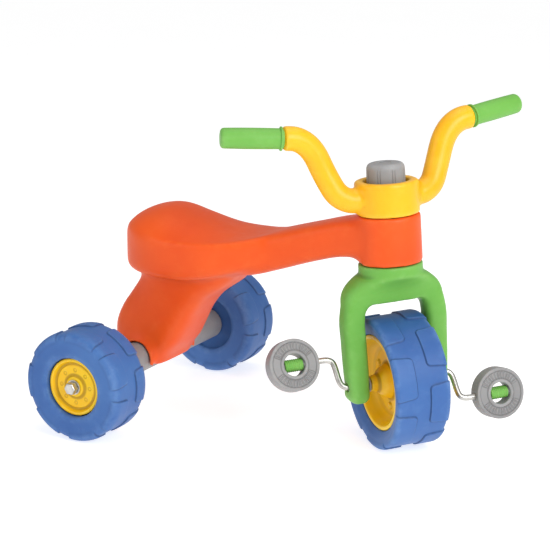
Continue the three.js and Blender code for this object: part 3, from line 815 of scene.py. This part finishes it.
CRANK_HOLE = 8


def crown_surface():
    z = np.linspace(CROWN[0][0], CROWN[-1][0], 60)
    middle, half_depth, half_width, power = (values[:, None] for values in flowing(z, CROWN))
    u, v = unit_squircle(ring_angles(160)[None, :], power)
    x = middle + half_depth * u
    return skin(np.stack([x, half_width * v, np.broadcast_to(z[:, None], x.shape)], axis=-1))


def leg_surface(side):
    z = np.linspace(LEG[0][0], LEG[-1][0], 90)
    inner, outer, half_depth = (values[:, None] for values in flowing(z, LEG))
    u, v = unit_squircle(ring_angles(96), 3.2)
    x = half_depth * u
    y = side * (inner + outer) / 2 + v * (outer - inner) / 2
    return skin(np.stack([x, y, np.broadcast_to(z[:, None], x.shape)], axis=-1))


def below_neck(points):
    """1 in the crotch and 0.1 at the neck, where the shoulders meet it in a tight corner."""
    height = points @ wheel_from_world[2, :3] + wheel_from_world[2, 3]
    return 1 - 0.9 * eased(height, 150, 166)


fork = fused(
    "fork_crown_and_legs",
    [
        carried(surface, STEERING)
        for surface in (
            crown_surface(),
            leg_surface(1),
            leg_surface(-1),
            upright_rod(STEM_RADIUS, HEAD_LOW - 8, STEM_TOP, 64),
        )
    ],
    size=1.6,
    ease=5,
    fillet=70,
    clean_cuts=[
        carried(rod(CRANK_HOLE, -120, 120, 48), STEERING),
        carried(upright_rod(BOLT_BORE, HEAD_LOW - 20, STEM_TOP + 20, 32), STEERING),
        # The stem's foot stays sharp, so that the lower bush can sit on the crown.
        carried(upright_ring(STEM_RADIUS, HEAD_BORE - CLEARANCE, CROWN_TOP, STEM_TOP - 2), STEERING),
    ],
    where=below_neck,
)
hand_over(fork, "steering", green, "green_plastic", "fork")

# %% [markdown]
# ## Handlebar
# The yellow handlebar grows out of a round collar: each arm leaves low, swings out and up like a horn,
# and turns level for the grip. A tube along a smooth path gives an arm, and fusing gives the soft root.
# The hollow round the knob is cut before the net is relaxed, so that its lip comes out rounded.

# %% Collar and arms
COLLAR_RADIUS, COLLAR_TOP = 50, HEAD_LOW + 128.7
COLLAR_DISH, COLLAR_FLOOR = 37, HEAD_LOW + 112.7
COLLAR_LOW = HEAD_LOW + HEAD_HEIGHT + 0.8
BAR_RADIUS, BAR_CORE = 19, 11
GRIP_INNER, GRIP_OUTER = np.array([-19, 155.5, 398.0]), np.array([-38, 250, 407.6])
GRIP_LENGTH = np.linalg.norm(GRIP_OUTER - GRIP_INNER)
ARM_PAST_GRIP = 1.6  # the arm's end reaches over the grip's narrow start, up to its flange
ARM_ROUTE = [
    [0, 34, 293],
    [0, 60, 293],
    [-5, 78, 303],
    [-11, 90, 325],
    [-15, 99, 347],
    [-17, 108, 369],
    [-18, 121, 386],
    [-18.5, 138, 396],
]


def smooth_path(route, step_length=3.0, ease=0):
    """A curve through given points, by how far along each lies, then evened out."""
    route = np.array(route, float)
    along = np.concatenate([[0], np.cumsum(np.linalg.norm(np.diff(route, axis=0), axis=1))])
    places = np.linspace(0, along[-1], int(along[-1] / step_length))
    path = flowing(places, np.column_stack([along, route])).T
    for _ in range(ease):
        path[1:-1] = 0.5 * path[1:-1] + 0.25 * (path[:-2] + path[2:])
    return path


def mirrored(points, side):
    return points * [1, side, 1]


def arm_surface(side):
    end = GRIP_INNER + ARM_PAST_GRIP * (GRIP_OUTER - GRIP_INNER) / GRIP_LENGTH
    path = smooth_path([*ARM_ROUTE, end], 3.0, 6)
    return skin(tube(mirrored(path, side), BAR_RADIUS, np.array([1.0, 0, 0]), 48))


def along_grip(side):
    """The place of a grip: its turning axis runs from the grip's inner end to its outer end."""
    start, heading = mirrored(GRIP_INNER, side), mirrored(GRIP_OUTER - GRIP_INNER, side) / GRIP_LENGTH
    across = np.cross(heading, [0.0, 0.0, 1.0])
    across /= np.linalg.norm(across)
    matrix = np.eye(4)
    matrix[:3, :4] = np.column_stack([across, heading, np.cross(across, heading), start])
    return STEERING @ matrix


CORE_END = GRIP_LENGTH - 8
DISH_TOP = COLLAR_TOP + 60  # the tool that cuts the hollow reaches well clear
collar_outline = [
    (0, COLLAR_LOW),
    (COLLAR_RADIUS, COLLAR_LOW, 3),
    (COLLAR_RADIUS, COLLAR_TOP, 5),
    (0, COLLAR_TOP),
]
core_outline = [(0, -6), (BAR_CORE, -6), (BAR_CORE, CORE_END, 2), (0, CORE_END)]
dish_outline = [(0, COLLAR_FLOOR), (COLLAR_DISH - 2, COLLAR_FLOOR), (COLLAR_DISH, DISH_TOP), (0, DISH_TOP)]
collar = carried(plugged(collar_outline, 128), UPRIGHT)
cores = [carried(plugged(core_outline, 40), along_grip(side)) for side in (1, -1)]
dish_tool = plugged(dish_outline, 96)
handlebar = fused(
    "handlebar",
    [*(carried(surface, STEERING) for surface in (collar, arm_surface(1), arm_surface(-1))), *cores],
    size=1.6,
    ease=4,
    fillet=60,
    soft_cuts=[carried(carried(dish_tool, UPRIGHT), STEERING)],
    clean_cuts=[
        carried(upright_rod(STEM_RADIUS + CLEARANCE, COLLAR_LOW - 20, COLLAR_TOP + 20, 64), STEERING),
    ],
)
hand_over(handlebar, "steering", yellow, "yellow_plastic", "handlebar")

# %% [markdown]
# ## Grips
# Each grip is a green sleeve pushed over the bar's core, with a thin flange that stops small hands.
# It is a turned piece. Its outer end is domed, and a faint swell runs along it, because a sleeve this
# long is never quite straight when it leaves the mould.

# %% Two grips
GRIP_RADIUS, GRIP_FLANGE = 15.8, 18.6


def grip_surface():
    along = np.linspace(9, GRIP_LENGTH - 14, 24)
    swell = GRIP_RADIUS + 0.35 * np.sin(np.pi * (along - 9) / (GRIP_LENGTH - 23))
    return plugged(
        [
            (0, GRIP_LENGTH - 6),
            (BAR_CORE + CLEARANCE, GRIP_LENGTH - 6),
            (BAR_CORE + CLEARANCE, 0.6),
            (GRIP_RADIUS - 0.8, 0.6, 1),
            (GRIP_RADIUS - 0.8, 3, 0.4),
            (GRIP_FLANGE, 3, 1.2),
            (GRIP_FLANGE, 6, 1.2),
            (GRIP_RADIUS, 6, 0.8),
            *zip(swell, along),
            (GRIP_RADIUS - 0.3, GRIP_LENGTH - 0.2, 6.5),
            (0, GRIP_LENGTH),
        ],
        72,
    )


for name, side in (("left", 1), ("right", -1)):
    grip = made(f"handle_grip_{name}", carried(grip_surface(), along_grip(side)))
    hand_over(grip, "steering", green, "green_plastic", f"grip_{name}")
print("grip length", round(GRIP_LENGTH, 1), "mm")

# %% [markdown]
# ## Knob
# The grey knob is a cap nut that holds the handlebar down. Its side carries paired flutes to grip it
# by, and its shoulder is round, with a flat, faintly sunk top. The flutes are a fall in radius that
# depends on the angle, so the knob is a turned outline with a pattern taken off it.

# %% The knob
KNOB_RADIUS, KNOB_LOW, KNOB_TOP = 30, COLLAR_FLOOR + 2.6, HEAD_LOW + 155.8
KNOB_WALL = 11  # how much plastic closes the knob above the bolt
FLUTE_PAIRS, FLUTE_DEPTH, FLUTE_HALF_WIDTH, FLUTE_SPACING = 8, 1.4, 1.1, 2.0


def knob_surface(sides=720):
    """radius = outline - depth where the angle lies in a flute, fading out over the shoulder."""
    outline = rounded(
        [
            (HAIR, KNOB_TOP - KNOB_WALL),
            (BOLT_BORE, KNOB_TOP - KNOB_WALL),
            (BOLT_BORE, KNOB_LOW),
            (KNOB_RADIUS, KNOB_LOW, 1),
            (KNOB_RADIUS, KNOB_TOP - 20),
            (KNOB_RADIUS - 0.6, KNOB_TOP - 0.4, 9.5),
            (KNOB_RADIUS - 20, KNOB_TOP, 1),
            (KNOB_RADIUS - 21.2, KNOB_TOP - 0.7, 1),
            (HAIR, KNOB_TOP - 0.7),
        ],
        closed=False,
        steps=12,
    )
    points = turned(outline, sides)
    angle = ring_angles(sides)
    pitch = 2 * math.pi / FLUTE_PAIRS
    offset = np.abs((angle + pitch / 2) % pitch - pitch / 2) * KNOB_RADIUS
    groove = 1 - eased(np.abs(offset - FLUTE_SPACING), 0.4 * FLUTE_HALF_WIDTH, FLUTE_HALF_WIDTH)
    tall = 1 - eased(outline[:, 1], KNOB_TOP - 12, KNOB_TOP - 6)
    wide = eased(outline[:, 0], KNOB_RADIUS - 4, KNOB_RADIUS - 1)
    fall = FLUTE_DEPTH / KNOB_RADIUS * groove[None] * (tall * wide)[:, None]
    points[..., [0, 2]] *= (1 - fall)[..., None]
    return skin(points)


knob = made("handlebar_knob", carried(carried(knob_surface(), UPRIGHT), STEERING))
hand_over(knob, "steering", grey, "grey_plastic", "knob")

# %% [markdown]
# ## Tyres
# The fat wheels are blow moulded, tyre and rim in one. Their tread is two staggered rows of low pads
# that start near the middle and run out over the shoulders. A pad is a plateau on the tyre: its outline
# is a rounded trapezoid in (distance round the tyre, distance across it), and the height rises from 0
# to the full step over a narrow band inside that outline.

# %% The tread as a height over the tyre
PADS, PAD_HEIGHT, PAD_EDGE, PAD_CORNER = 7, 2.4, 1.5, 6.0
PAD_INNER, PAD_FADE, PAD_END = 10.5, 42.0, 51.0  # across the tyre, from its middle line


def pad_height(angle, across, radius, first):
    """Height of the pads at an angle round the tyre and a distance across it. `first` is the angle of
    the first pad in degrees, from the top forwards."""
    pitch = 2 * math.pi / PADS
    stagger = np.where(across > 0, 0.0, pitch / 2) - math.radians(first)
    around = np.abs((angle + stagger + pitch / 2) % pitch - pitch / 2) * radius
    reach = np.abs(across)
    half_length = pitch * radius * (0.335 + 0.05 * (reach - PAD_INNER) / (PAD_END - PAD_INNER))
    along = around - half_length + PAD_CORNER
    inward = PAD_INNER - reach + PAD_CORNER
    corner = np.hypot(np.maximum(along, 0), np.maximum(inward, 0))
    outside = corner + np.minimum(np.maximum(along, inward), 0) - PAD_CORNER
    fade = 1 - eased(reach, PAD_FADE, PAD_END)
    # line is a thin band round each pad's outline: its foot, where the tyre gets a painted shade.
    line = 1 - eased(np.abs(outside + 0.3), 0.5, 1.6)
    return PAD_HEIGHT * eased(-outside, 0.0, PAD_EDGE) * fade, line * fade


def finer_at_pads(line, step_length):
    """The same line with points a step apart, and closer ones where the pads' inner edges will stand."""
    along = np.concatenate([[0], np.cumsum(np.linalg.norm(np.diff(line, axis=0), axis=1))])
    middle = along[-1] / 2
    edge = PAD_INNER + np.linspace(-1.1, 2.9, 9)
    count = int(math.ceil(along[-1] / step_length)) + 1
    places = np.sort(np.concatenate([np.linspace(0, along[-1], count), middle - edge, middle + edge]))
    return np.stack([np.interp(places, along, values) for values in line.T], axis=1)


def tyre_surface(radius, half_width, pocket, floor, lip, inner_pocket, inner_floor, bore, sides, first):
    """The tyre's section, turned about the axle, with the pads laid along its own normal."""
    base = radius - PAD_HEIGHT
    slope = 2 * (half_width - lip)
    outer_skin = rounded(
        [
            (inner_pocket, -lip + 4),
            (inner_pocket, -lip, 4),
            (inner_pocket + slope, -half_width, 9),
            (base, -half_width, 15),
            (base, half_width, 15),
            (pocket + slope, half_width, 9),
            (pocket, lip, 4),
            (pocket, lip - 4),
        ],
        closed=False,
        steps=12,
    )
    outer_skin = finer_at_pads(outer_skin, 2.3)
    inside = rounded(
        [
            (pocket, lip - 5),
            (pocket, floor, 2),
            (bore, floor, 1),
            (bore, inner_floor, 1),
            (inner_pocket, inner_floor, 2),
            (inner_pocket, -lip + 5),
        ],
        closed=False,
    )
    outline = np.vstack([outer_skin, inside])
    points = turned(outline, sides)
    heading = np.gradient(outline, axis=0)
    out = np.stack([heading[:, 1], -heading[:, 0]], axis=1)
    out /= np.linalg.norm(out, axis=1)[:, None]
    lengths = np.linalg.norm(np.diff(outline, axis=0), axis=1)
    across = np.concatenate([[0], np.cumsum(lengths)])
    across -= across[len(outer_skin) - 1] / 2
    angle = ring_angles(sides)
    # Besides their height, the pads give the band at their foot that carries the painted shade.
    height, line = pad_height(angle[None, :], across[:, None], radius, first)
    height[len(outer_skin):] = 0
    line[len(outer_skin):] = 0
    points[..., 0] += height * out[:, :1] * np.sin(angle)
    points[..., 2] += height * out[:, :1] * np.cos(angle)
    points[..., 1] += height * out[:, 1:]
    return skin(points, "joined"), line.ravel()


def paint_pad_foot_shade(piece, line):
    """Adds the foot of every pad to the marks of the hollows, so that the tyre gets a painted shade there.
    """
    layer = piece.data.attributes["nook"]
    nook = np.empty(len(line), np.float32)
    layer.data.foreach_get("value", nook)
    layer.data.foreach_set("value", np.maximum(nook, line.astype(np.float32)))


FRONT_TYRE = dict(
    radius=106,
    half_width=43.5,
    pocket=76.8,
    floor=6,
    lip=36,
    inner_pocket=76.8,
    inner_floor=-6,
    bore=12,
    sides=540,
    first=-3.0,
)
REAR_TYRE = dict(
    radius=90,
    half_width=43,
    pocket=48.5,
    floor=24,
    lip=40,
    inner_pocket=47,
    inner_floor=-35,
    bore=12,
    sides=460,
    first=-12.6,
)
REAR_PLANE = joints["rear_wheel_left_spin"]["pos_m"][1] / MM  # how far out a rear wheel's middle is


def rear_place(side, out):
    """A place on the rear axle, `out` from the middle of the tricycle, for a piece drawn for the left."""
    shift = np.eye(4)
    shift[1, 3] = out
    return side_turned(REAR, side) @ shift


# Each tyre also gets a painted shade along the feet of its pads.
surface, pad_foot_shade = tyre_surface(**FRONT_TYRE)
front_tyre = made("front_tyre", carried(surface, STEERING))
hand_over(front_tyre, "front_wheel_and_crank", blue, "blue_plastic", "front_wheel")
paint_pad_foot_shade(front_tyre, pad_foot_shade)
surface, pad_foot_shade = tyre_surface(**REAR_TYRE)
for name, side in (("left", 1), ("right", -1)):
    tyre = made(f"rear_tyre_{name}", carried(surface, rear_place(side, REAR_PLANE)))
    hand_over(tyre, f"rear_wheel_{name}", blue, "blue_plastic", f"rear_wheel_{name}")
    paint_pad_foot_shade(tyre, pad_foot_shade)
    print(tyre.name, len(tyre.data.polygons), "faces")

# %% [markdown]
# ## Hubs
# Yellow discs close the wheels. The rear hub is a shallow dish with a raised rim and a ring of low
# dimples, and the front hub is a deep dish with a domed middle that grips the crank, and round bosses
# between. Dimples and bosses are round hills on a turned surface: a height that depends on how far a
# point lies from the nearest of several evenly spaced spots.

# %% Rear and front hubs
def spots(points, count, ring, reach, height, low=-1e9):
    """Adds smooth round hills along Y to a turned surface, `count` of them round a ring. Points below
    `low` stay, so that only the outer face is shaped."""
    radius = np.hypot(points[..., 0], points[..., 2])
    angle = np.arctan2(points[..., 0], points[..., 2])
    pitch = 2 * math.pi / count
    off = ((angle + pitch / 2) % pitch - pitch / 2) * ring
    distance = np.hypot(off, radius - ring)
    points[..., 1] += height * (1 - eased(distance, 0.55 * reach, reach)) * (points[..., 1] > low)
    return points


def fine_outline(corners, step_length=0.9):
    line = rounded(corners, steps=8)
    return evenly(np.vstack([line, line[:1]]), step_length)[:-1]


def rear_hub_surface():
    outline = fine_outline(
        [
            (AXLE_BORE, -35),
            (11.7, -35),
            (11.7, 24.3),
            (45, 24.3, 1),
            (47, 26, 1),
            (47, 34.4, 1.8),
            (42.6, 35, 1.6),
            (38.6, 28.6, 2.2),
            (36, 28.4, 1.0),
            (34.4, 30, 1.0),
            (20, 30, 2),
            (17, 31.2, 1.5),
            (15.5, 33.6, 1.5),
            (AXLE_BORE, 33.8),
        ]
    )
    return skin(spots(turned(outline, 240), 8, 27, 4.5, -0.9, 28), "joined")


def front_hub_surface():
    outline = fine_outline(
        [
            (4.6, 6.3),
            (50, 6.3, 2),
            (58, 12, 2),
            (74, 28, 2),
            (76, 31, 1),
            (76, 35.2, 1.6),
            (70, 35.2, 2.5),
            (62, 20, 5),
            (53, 12.6, 4),
            (29, 12.6, 4),
            (22, 28, 6),
            (14, 34, 3),
            (12, 46, 1.5),
            (4.6, 46),
        ]
    )
    return skin(spots(turned(outline, 260), 6, 41, 6.2, 3.2, 11), "joined")


for name, side in (("left", 1), ("right", -1)):
    hub = made(f"rear_wheel_hub_{name}", carried(rear_hub_surface(), rear_place(side, REAR_PLANE)))
    hand_over(hub, f"rear_wheel_{name}", lemon, "yellow_plastic", f"rear_hub_{name}")
    hub = made(f"front_wheel_hub_{name}", carried(front_hub_surface(), side_turned(STEERING, side)))
    hand_over(hub, "front_wheel_and_crank", lemon, "yellow_plastic", f"front_hub_{name}")
print("hubs", len(hub.data.polygons), "faces each")

# %% [markdown]
# ## Rear axle
# A steel rod runs through the column's foot, the grey spacers and both wheels. The spacers hold the
# wheels apart, and a washer and a closed six-sided cap nut finish each end. A nut is a turned shape
# whose radius follows a hexagon, r = flat / cos of the angle from the nearest flat's middle, with its
# corners turned off at the top.

# %% Axle, spacers, washers and nuts
AXLE_HALF_LENGTH, SPACER_RADIUS, SPACER_END = 251, 26, 169.6
# From the middle plane of the wheel outwards.
WASHER_RADIUS, WASHER_LOW, WASHER_TOP = 12, 34.3, 35.9
NUT_FLAT, NUT_LOW, NUT_TOP = 9.0, 36.5, 48.0

axle = made(
    "rear_axle_rod",
    carried(
        plugged(
            [
                (0, -AXLE_HALF_LENGTH),
                (AXLE_RADIUS, -AXLE_HALF_LENGTH, 1.2),
                (AXLE_RADIUS, AXLE_HALF_LENGTH, 1.2),
                (0, AXLE_HALF_LENGTH),
            ],
            40,
        ),
        REAR,
    ),
)
hand_over(axle, "frame", steel, "steel", "rear_axle")


def nut_surface(sides=120):
    """radius = flat / cos(angle from the nearest flat), with the rod's end closed in."""
    outline = rounded(
        [
            (HAIR, NUT_TOP - 2.2),
            (AXLE_BORE, NUT_TOP - 2.2),
            (AXLE_BORE, NUT_LOW),
            (NUT_FLAT, NUT_LOW, 0.4),
            (NUT_FLAT, NUT_TOP - 2, 0.8),
            (0.84 * NUT_FLAT, NUT_TOP, 1.2),
            (HAIR, NUT_TOP),
        ],
        closed=False,
        steps=5,
    )
    points = turned(outline, sides)
    flat = math.pi / 3
    off = (ring_angles(sides) + flat / 2) % flat - flat / 2
    hexagon = np.minimum(1 / np.cos(off), 1.13)
    share = eased(outline[:, 0], AXLE_RADIUS + 0.4, 0.99 * NUT_FLAT)[:, None]
    points[..., [0, 2]] *= (1 + share * (hexagon - 1))[..., None]
    return skin(points)


for name, side in (("left", 1), ("right", -1)):
    spacer = bored(
        [
            (AXLE_BORE, SADDLE_WEB + CLEARANCE),
            (SPACER_RADIUS, SADDLE_WEB + CLEARANCE, 1.5),
            (SPACER_RADIUS, SPACER_END, 1.5),
            (AXLE_BORE, SPACER_END),
        ]
    )
    washer = bored(
        [
            (AXLE_BORE, WASHER_LOW),
            (WASHER_RADIUS, WASHER_LOW, 0.5),
            (WASHER_RADIUS, WASHER_TOP, 0.5),
            (AXLE_BORE, WASHER_TOP),
        ],
        64,
        4,
    )
    hand_over(
        made(f"spacer_tube_{name}", carried(spacer, rear_place(side, 0))),
        "frame", grey, "grey_plastic", f"axle_spacer_{name}",
    )
    hand_over(
        made(f"wheel_washer_{name}", carried(washer, rear_place(side, REAR_PLANE))),
        "frame", steel, "steel", f"axle_washer_{name}",
    )
    hand_over(
        made(f"wheel_nut_{name}", carried(nut_surface(), rear_place(side, REAR_PLANE))),
        "frame", steel, "steel", f"axle_nut_{name}",
    )

# %% [markdown]
# ## Crank
# One bright rod runs through the front wheel and bends out to both pedals. Steel bends in round curves,
# so the path is set by a few points on each side and then evened out. The two sides are half a turn
# apart. Its pedals' own joints give the places of the pins.

# %% The crank
ROD_RADIUS = 4.8
PIN_BORE = ROD_RADIUS + CLEARANCE
pin = {
    side: (wheel_from_world @ [*joints[f"pedal_{name}_spin"]["pos_m"], 1])[:3]
    for name, side in (("left", 1), ("right", -1))
}
# Share of the way out to the pin, and distance from the wheel's middle plane.
CRANK_BENDS = [
    (0, 60),
    (0, 76),
    (0, 83),
    (0.02, 88),
    (0.1, 92.5),
    (0.3, 94.5),
    (0.7, 95),
    (0.92, 97),
    (0.99, 104),
    (1, 114),
    (1, 130),
    (1, 191),
]


def crank_half(side):
    across = pin[side] * [1, 0, 1]
    return [across * share + [0, side * out, 0] for share, out in CRANK_BENDS]


crank_path = smooth_path([*crank_half(-1)[::-1], *crank_half(1)], 1.5, 14)
pin_across = pin[1] * [1, 0, 1]
crank_plane = np.cross(pin_across / np.linalg.norm(pin_across), [0.0, 1.0, 0.0])
crank = made("bent_crank", carried(skin(tube(crank_path, ROD_RADIUS, crank_plane, 24)), STEERING))
hand_over(crank, "front_wheel_and_crank", steel, "steel", "crank")
print("crank rod", len(crank_path), "rings")

# %% [markdown]
# A grey bush lines the hole in each fork leg. Only its end shows, a little way down the hole.

# %% Crank bushes
BUSH_RADIUS, BUSH_FLANGE, BUSH_SINK = 13, 3, 3  # its flange inside the leg, and how deep its end sits


for name, side in (("left", 1), ("right", -1)):
    bush = bored(
        [
            (PIN_BORE, LEG_INNER - BUSH_FLANGE),
            (BUSH_RADIUS, LEG_INNER - BUSH_FLANGE, 0.6),
            (BUSH_RADIUS, LEG_INNER - CLEARANCE, 0.4),
            (CRANK_HOLE - CLEARANCE, LEG_INNER - CLEARANCE),
            (CRANK_HOLE - CLEARANCE, LEG_OUTER - BUSH_SINK, 0.5),
            (PIN_BORE, LEG_OUTER - BUSH_SINK, 0.5),
        ],
        56,
        4,
    )
    piece = made(f"leg_bush_{name}", carried(bush, side_turned(STEERING, side)))
    hand_over(piece, "steering", grey, "grey_plastic", f"crank_bush_{name}")

# %% [markdown]
# ## Pedals
# Each pedal is a thick grey ring that hangs on the crank's pin, with a ribbed green sleeve in its
# middle. Both faces have a raised border and short ribs in between, so that a shoe doesn't slip. The
# ribs are a height over the flat face, and the border is part of the turned outline.

# %% Pedal rings and sleeves
PEDAL_RADIUS, PEDAL_HOLE, PEDAL_HALF = 41, 17.5, 12.5
PEDAL_TILT = {"right": 20, "left": 9}
FACE_SINK, RIB_COUNT, RIB_HEIGHT = 1.4, 36, 1.2
SLEEVE_RADIUS, SLEEVE_HALF, SLEEVE_RIBS, SLEEVE_GROOVE = 10, 15, 9, 0.55
BOSS_RADIUS = 8.2
BOSS_ENDS = {
    "outer": (SLEEVE_HALF + 0.6, PEDAL_HOLE + 0.8),
    "inner": (-PEDAL_HOLE - 0.8, -SLEEVE_HALF - 0.6),
}


def pedal_place(name, side):
    """The pedal's own place: on its pin, with its face tilted up."""
    tilt = math.radians(PEDAL_TILT[name])
    matrix = np.eye(4)
    matrix[:3, 0] = [math.cos(tilt), 0, math.sin(tilt)]
    matrix[:3, 2] = [-math.sin(tilt), 0, math.cos(tilt)]
    matrix[:3, 3] = pin[side]
    return side_turned(STEERING @ matrix, side)


# A piece turned about Y faces along X instead.
FACING_FORWARD = np.array([[0, 1.0, 0, 0], [1, 0, 0, 0], [0, 0, 1, 0], [0, 0, 0, 1]])


def pedal_ring_surface(sides=264):
    """A closed outline turned about Y, then ribs raised where cos(count a) is above a threshold, in
    two arcs of the sunk face on each side."""
    t = PEDAL_HALF
    one_face = [
        (PEDAL_HOLE, t, 2.2),
        (PEDAL_HOLE + 4.4, t, 0.8),
        (PEDAL_HOLE + 5.2, t - FACE_SINK, 0.5),
        (PEDAL_RADIUS - 5.2, t - FACE_SINK, 0.5),
        (PEDAL_RADIUS - 4.4, t, 0.8),
        (PEDAL_RADIUS, t, 3.4),
    ]
    corners = one_face + [(r, -h, reach) for r, h, reach in reversed(one_face)]
    outline = fine_outline(corners, 0.8)
    points = turned(outline, sides)
    angle = ring_angles(sides)
    bars = eased(np.cos(RIB_COUNT * angle), 0.0, 0.6) * eased(np.abs(np.cos(angle)), 0.35, 0.5)
    band = eased(outline[:, 0], PEDAL_HOLE + 6.5, PEDAL_HOLE + 7.5)
    band *= 1 - eased(outline[:, 0], PEDAL_RADIUS - 7.5, PEDAL_RADIUS - 6.5)
    band *= eased(np.abs(outline[:, 1]), t - 2.5, t - 1.5)
    points[..., 1] += RIB_HEIGHT * band[:, None] * bars[None] * np.sign(outline[:, 1])[:, None]
    return carried(skin(points, "joined"), FACING_FORWARD)


def pin_boss(low, high):
    """The small round boss where the pin goes through the ring's inner wall."""
    return bored([(PIN_BORE, low), (BOSS_RADIUS, low, 0.8), (BOSS_RADIUS, high, 0.8), (PIN_BORE, high)], 48)


def sleeve_surface():
    """A radius less a shallow wave along the sleeve, with one crest for each rib."""
    along = np.linspace(-SLEEVE_HALF + 1, SLEEVE_HALF - 1, 120)
    wave = np.cos(2 * math.pi * SLEEVE_RIBS * (along / (2 * SLEEVE_HALF)))
    radius = SLEEVE_RADIUS - SLEEVE_GROOVE * (1 - wave) / 2
    outline = np.vstack([
        [[PIN_BORE, -SLEEVE_HALF], [SLEEVE_RADIUS - 1, -SLEEVE_HALF]],
        np.column_stack([radius, along]),
        [[SLEEVE_RADIUS - 1, SLEEVE_HALF], [PIN_BORE, SLEEVE_HALF]],
    ])
    return skin(turned(outline, 64), "joined")


for name, side in (("left", 1), ("right", -1)):
    place = pedal_place(name, side)
    ring = made(f"pedal_tread_{name}", carried(pedal_ring_surface(), place))
    cut_away(ring, carried(rod(PIN_BORE, -60, PEDAL_RADIUS - 8, 32), place))
    hand_over(ring, f"pedal_{name}", grey, "grey_plastic", f"pedal_ring_{name}")
    sleeve = made(f"pedal_inner_sleeve_{name}", carried(sleeve_surface(), place))
    hand_over(sleeve, f"pedal_{name}", green, "green_plastic", f"pedal_sleeve_{name}")
    for end, (low, high) in BOSS_ENDS.items():
        boss = made(f"pedal_boss_{name}_{end}", carried(pin_boss(low, high), place))
        dressed(boss, grey)
        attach(boss, f"pedal_{name}")

# %% [markdown]
# The bushes in the head, the bolt and the washer under the knob are simple turned parts, hardly seen.
# Their plain solids are right as they are and only need a finish.

# %% Finishes for the parts that stay
for node, material in (
    ("head_bush_lower", grey),
    ("head_bush_upper", grey),
    ("steering_bolt", steel),
    ("knob_washer", steel),
):
    for place in frame["nodes"][node].material_slots:
        place.material = material

# %% [markdown]
# ## Floor, light and camera
# The tricycle stands on a wide pale table that glows a little from below. The main soft box stands in
# front on the right, with weaker ones overhead and on the left, and a white surround fills the shadows,
# as in a studio made for bright toys. Straight colour, with no film curve, keeps the dyes vivid.

# %% The floor
FLOOR_LEVEL = -0.0002  # in metres: a hair under the tyres
FLOOR_GLOW = 0.7  # the table is lit from below, which leaves only faint shadows


def floor_surface(radius=14.0, rings=40, sides=96):
    """A disc of rings that widen outwards, just under the tyres."""
    reach = np.linspace(0.02, 1, rings)[:, None] ** 2 * radius
    angle = ring_angles(sides)[None]
    level = np.full((rings, sides), FLOOR_LEVEL)
    flat = np.stack([reach * np.cos(angle), reach * np.sin(angle), level], axis=-1)
    number = np.arange(rings * sides).reshape(rings, sides)
    low, high = number[:-1], number[1:]
    quads = np.stack([low, high, np.roll(high, -1, 1), np.roll(low, -1, 1)], -1).reshape(-1, 4)
    points = np.vstack([flat.reshape(-1, 3), [[0, 0, FLOOR_LEVEL]]])
    middle = np.stack([np.full(sides, rings * sides), number[0], np.roll(number[0], -1)], -1)
    return points, quads, middle


def floor_material():
    material = bpy.data.materials.new("pale_floor")
    material.use_nodes = True
    tree = material.node_tree
    shader = tree.nodes["Principled BSDF"]
    place = step(tree, "ShaderNodeTexCoord").outputs["Object"]
    paper = noise(tree, place, 3.0, 3.0)
    white = tinted(tree, paper, (0.60, 0.60, 0.605, 1), (0.63, 0.63, 0.63, 1))
    tree.links.new(white, shader.inputs["Base Color"])
    shader.inputs["Emission Color"].default_value = (1, 1, 1, 1)
    shader.inputs["Emission Strength"].default_value = FLOOR_GLOW
    shader.inputs["Roughness"].default_value = 0.75
    shader.inputs["Specular IOR Level"].default_value = 0.2
    return material


floor = made("studio_floor", floor_surface())
floor.data.materials.append(floor_material())

# %% [markdown]
# Large soft boxes give the broad, soft highlights of moulded plastic. Each is a disc of light that
# faces the middle of the tricycle.

# %% Light
def soft_box(name, at, aim, size, power, colour=(1, 1, 1)):
    light = bpy.data.lights.new(name, "AREA")
    light.shape = "DISK"
    light.size = size
    light.energy = power
    light.color = colour
    lamp = bpy.data.objects.new(name, light)
    lamp.location = at
    lamp.rotation_mode = "QUATERNION"
    away = Vector(at) - Vector(aim)
    lamp.rotation_quaternion = away.to_track_quat("Z", "Y")
    bpy.context.scene.collection.objects.link(lamp)


AIM = (0.0, 0.0, 0.22)
soft_box("key_right", (2.1, -1.0, 1.5), AIM, 1.5, 40)
soft_box("overhead", (0.2, 0.1, 2.3), AIM, 1.8, 12)
soft_box("fill_left", (-1.2, -1.9, 1.1), AIM, 1.4, 9)
surround = bpy.data.worlds.new("white_surround")
surround.use_nodes = True
surround.node_tree.nodes["Background"].inputs["Color"].default_value = (1, 1, 1, 1)
surround.node_tree.nodes["Background"].inputs["Strength"].default_value = 0.45
bpy.context.scene.world = surround
bpy.context.scene.view_settings.view_transform = "Standard"

# %% [markdown]
# The camera stands well back in front on the right, a little above, with a long lens, so that near
# and far wheels keep nearly the same size.

# %% Camera
AZIMUTH, ELEVATION, DISTANCE = math.radians(29.5), math.radians(15.1), 2.8
CAMERA_AIM = Vector((-0.0304, 0.0, 0.2483))
camera_data = bpy.data.cameras.new("camera")
camera_data.lens = 113.5
camera_data.sensor_width = 36
camera_data.clip_end = 100
camera = bpy.data.objects.new("camera", camera_data)
back = Vector((
    math.sin(AZIMUTH) * math.cos(ELEVATION),
    -math.cos(AZIMUTH) * math.cos(ELEVATION),
    math.sin(ELEVATION),
))
camera.location = CAMERA_AIM + back * DISTANCE
camera.rotation_mode = "QUATERNION"
camera.rotation_quaternion = back.to_track_quat("Z", "Y")
bpy.context.scene.collection.objects.link(camera)
bpy.context.scene.camera = camera

# %% [markdown]
# Last, the view layer is brought up to date.

# %% The end
bpy.context.view_layer.update()
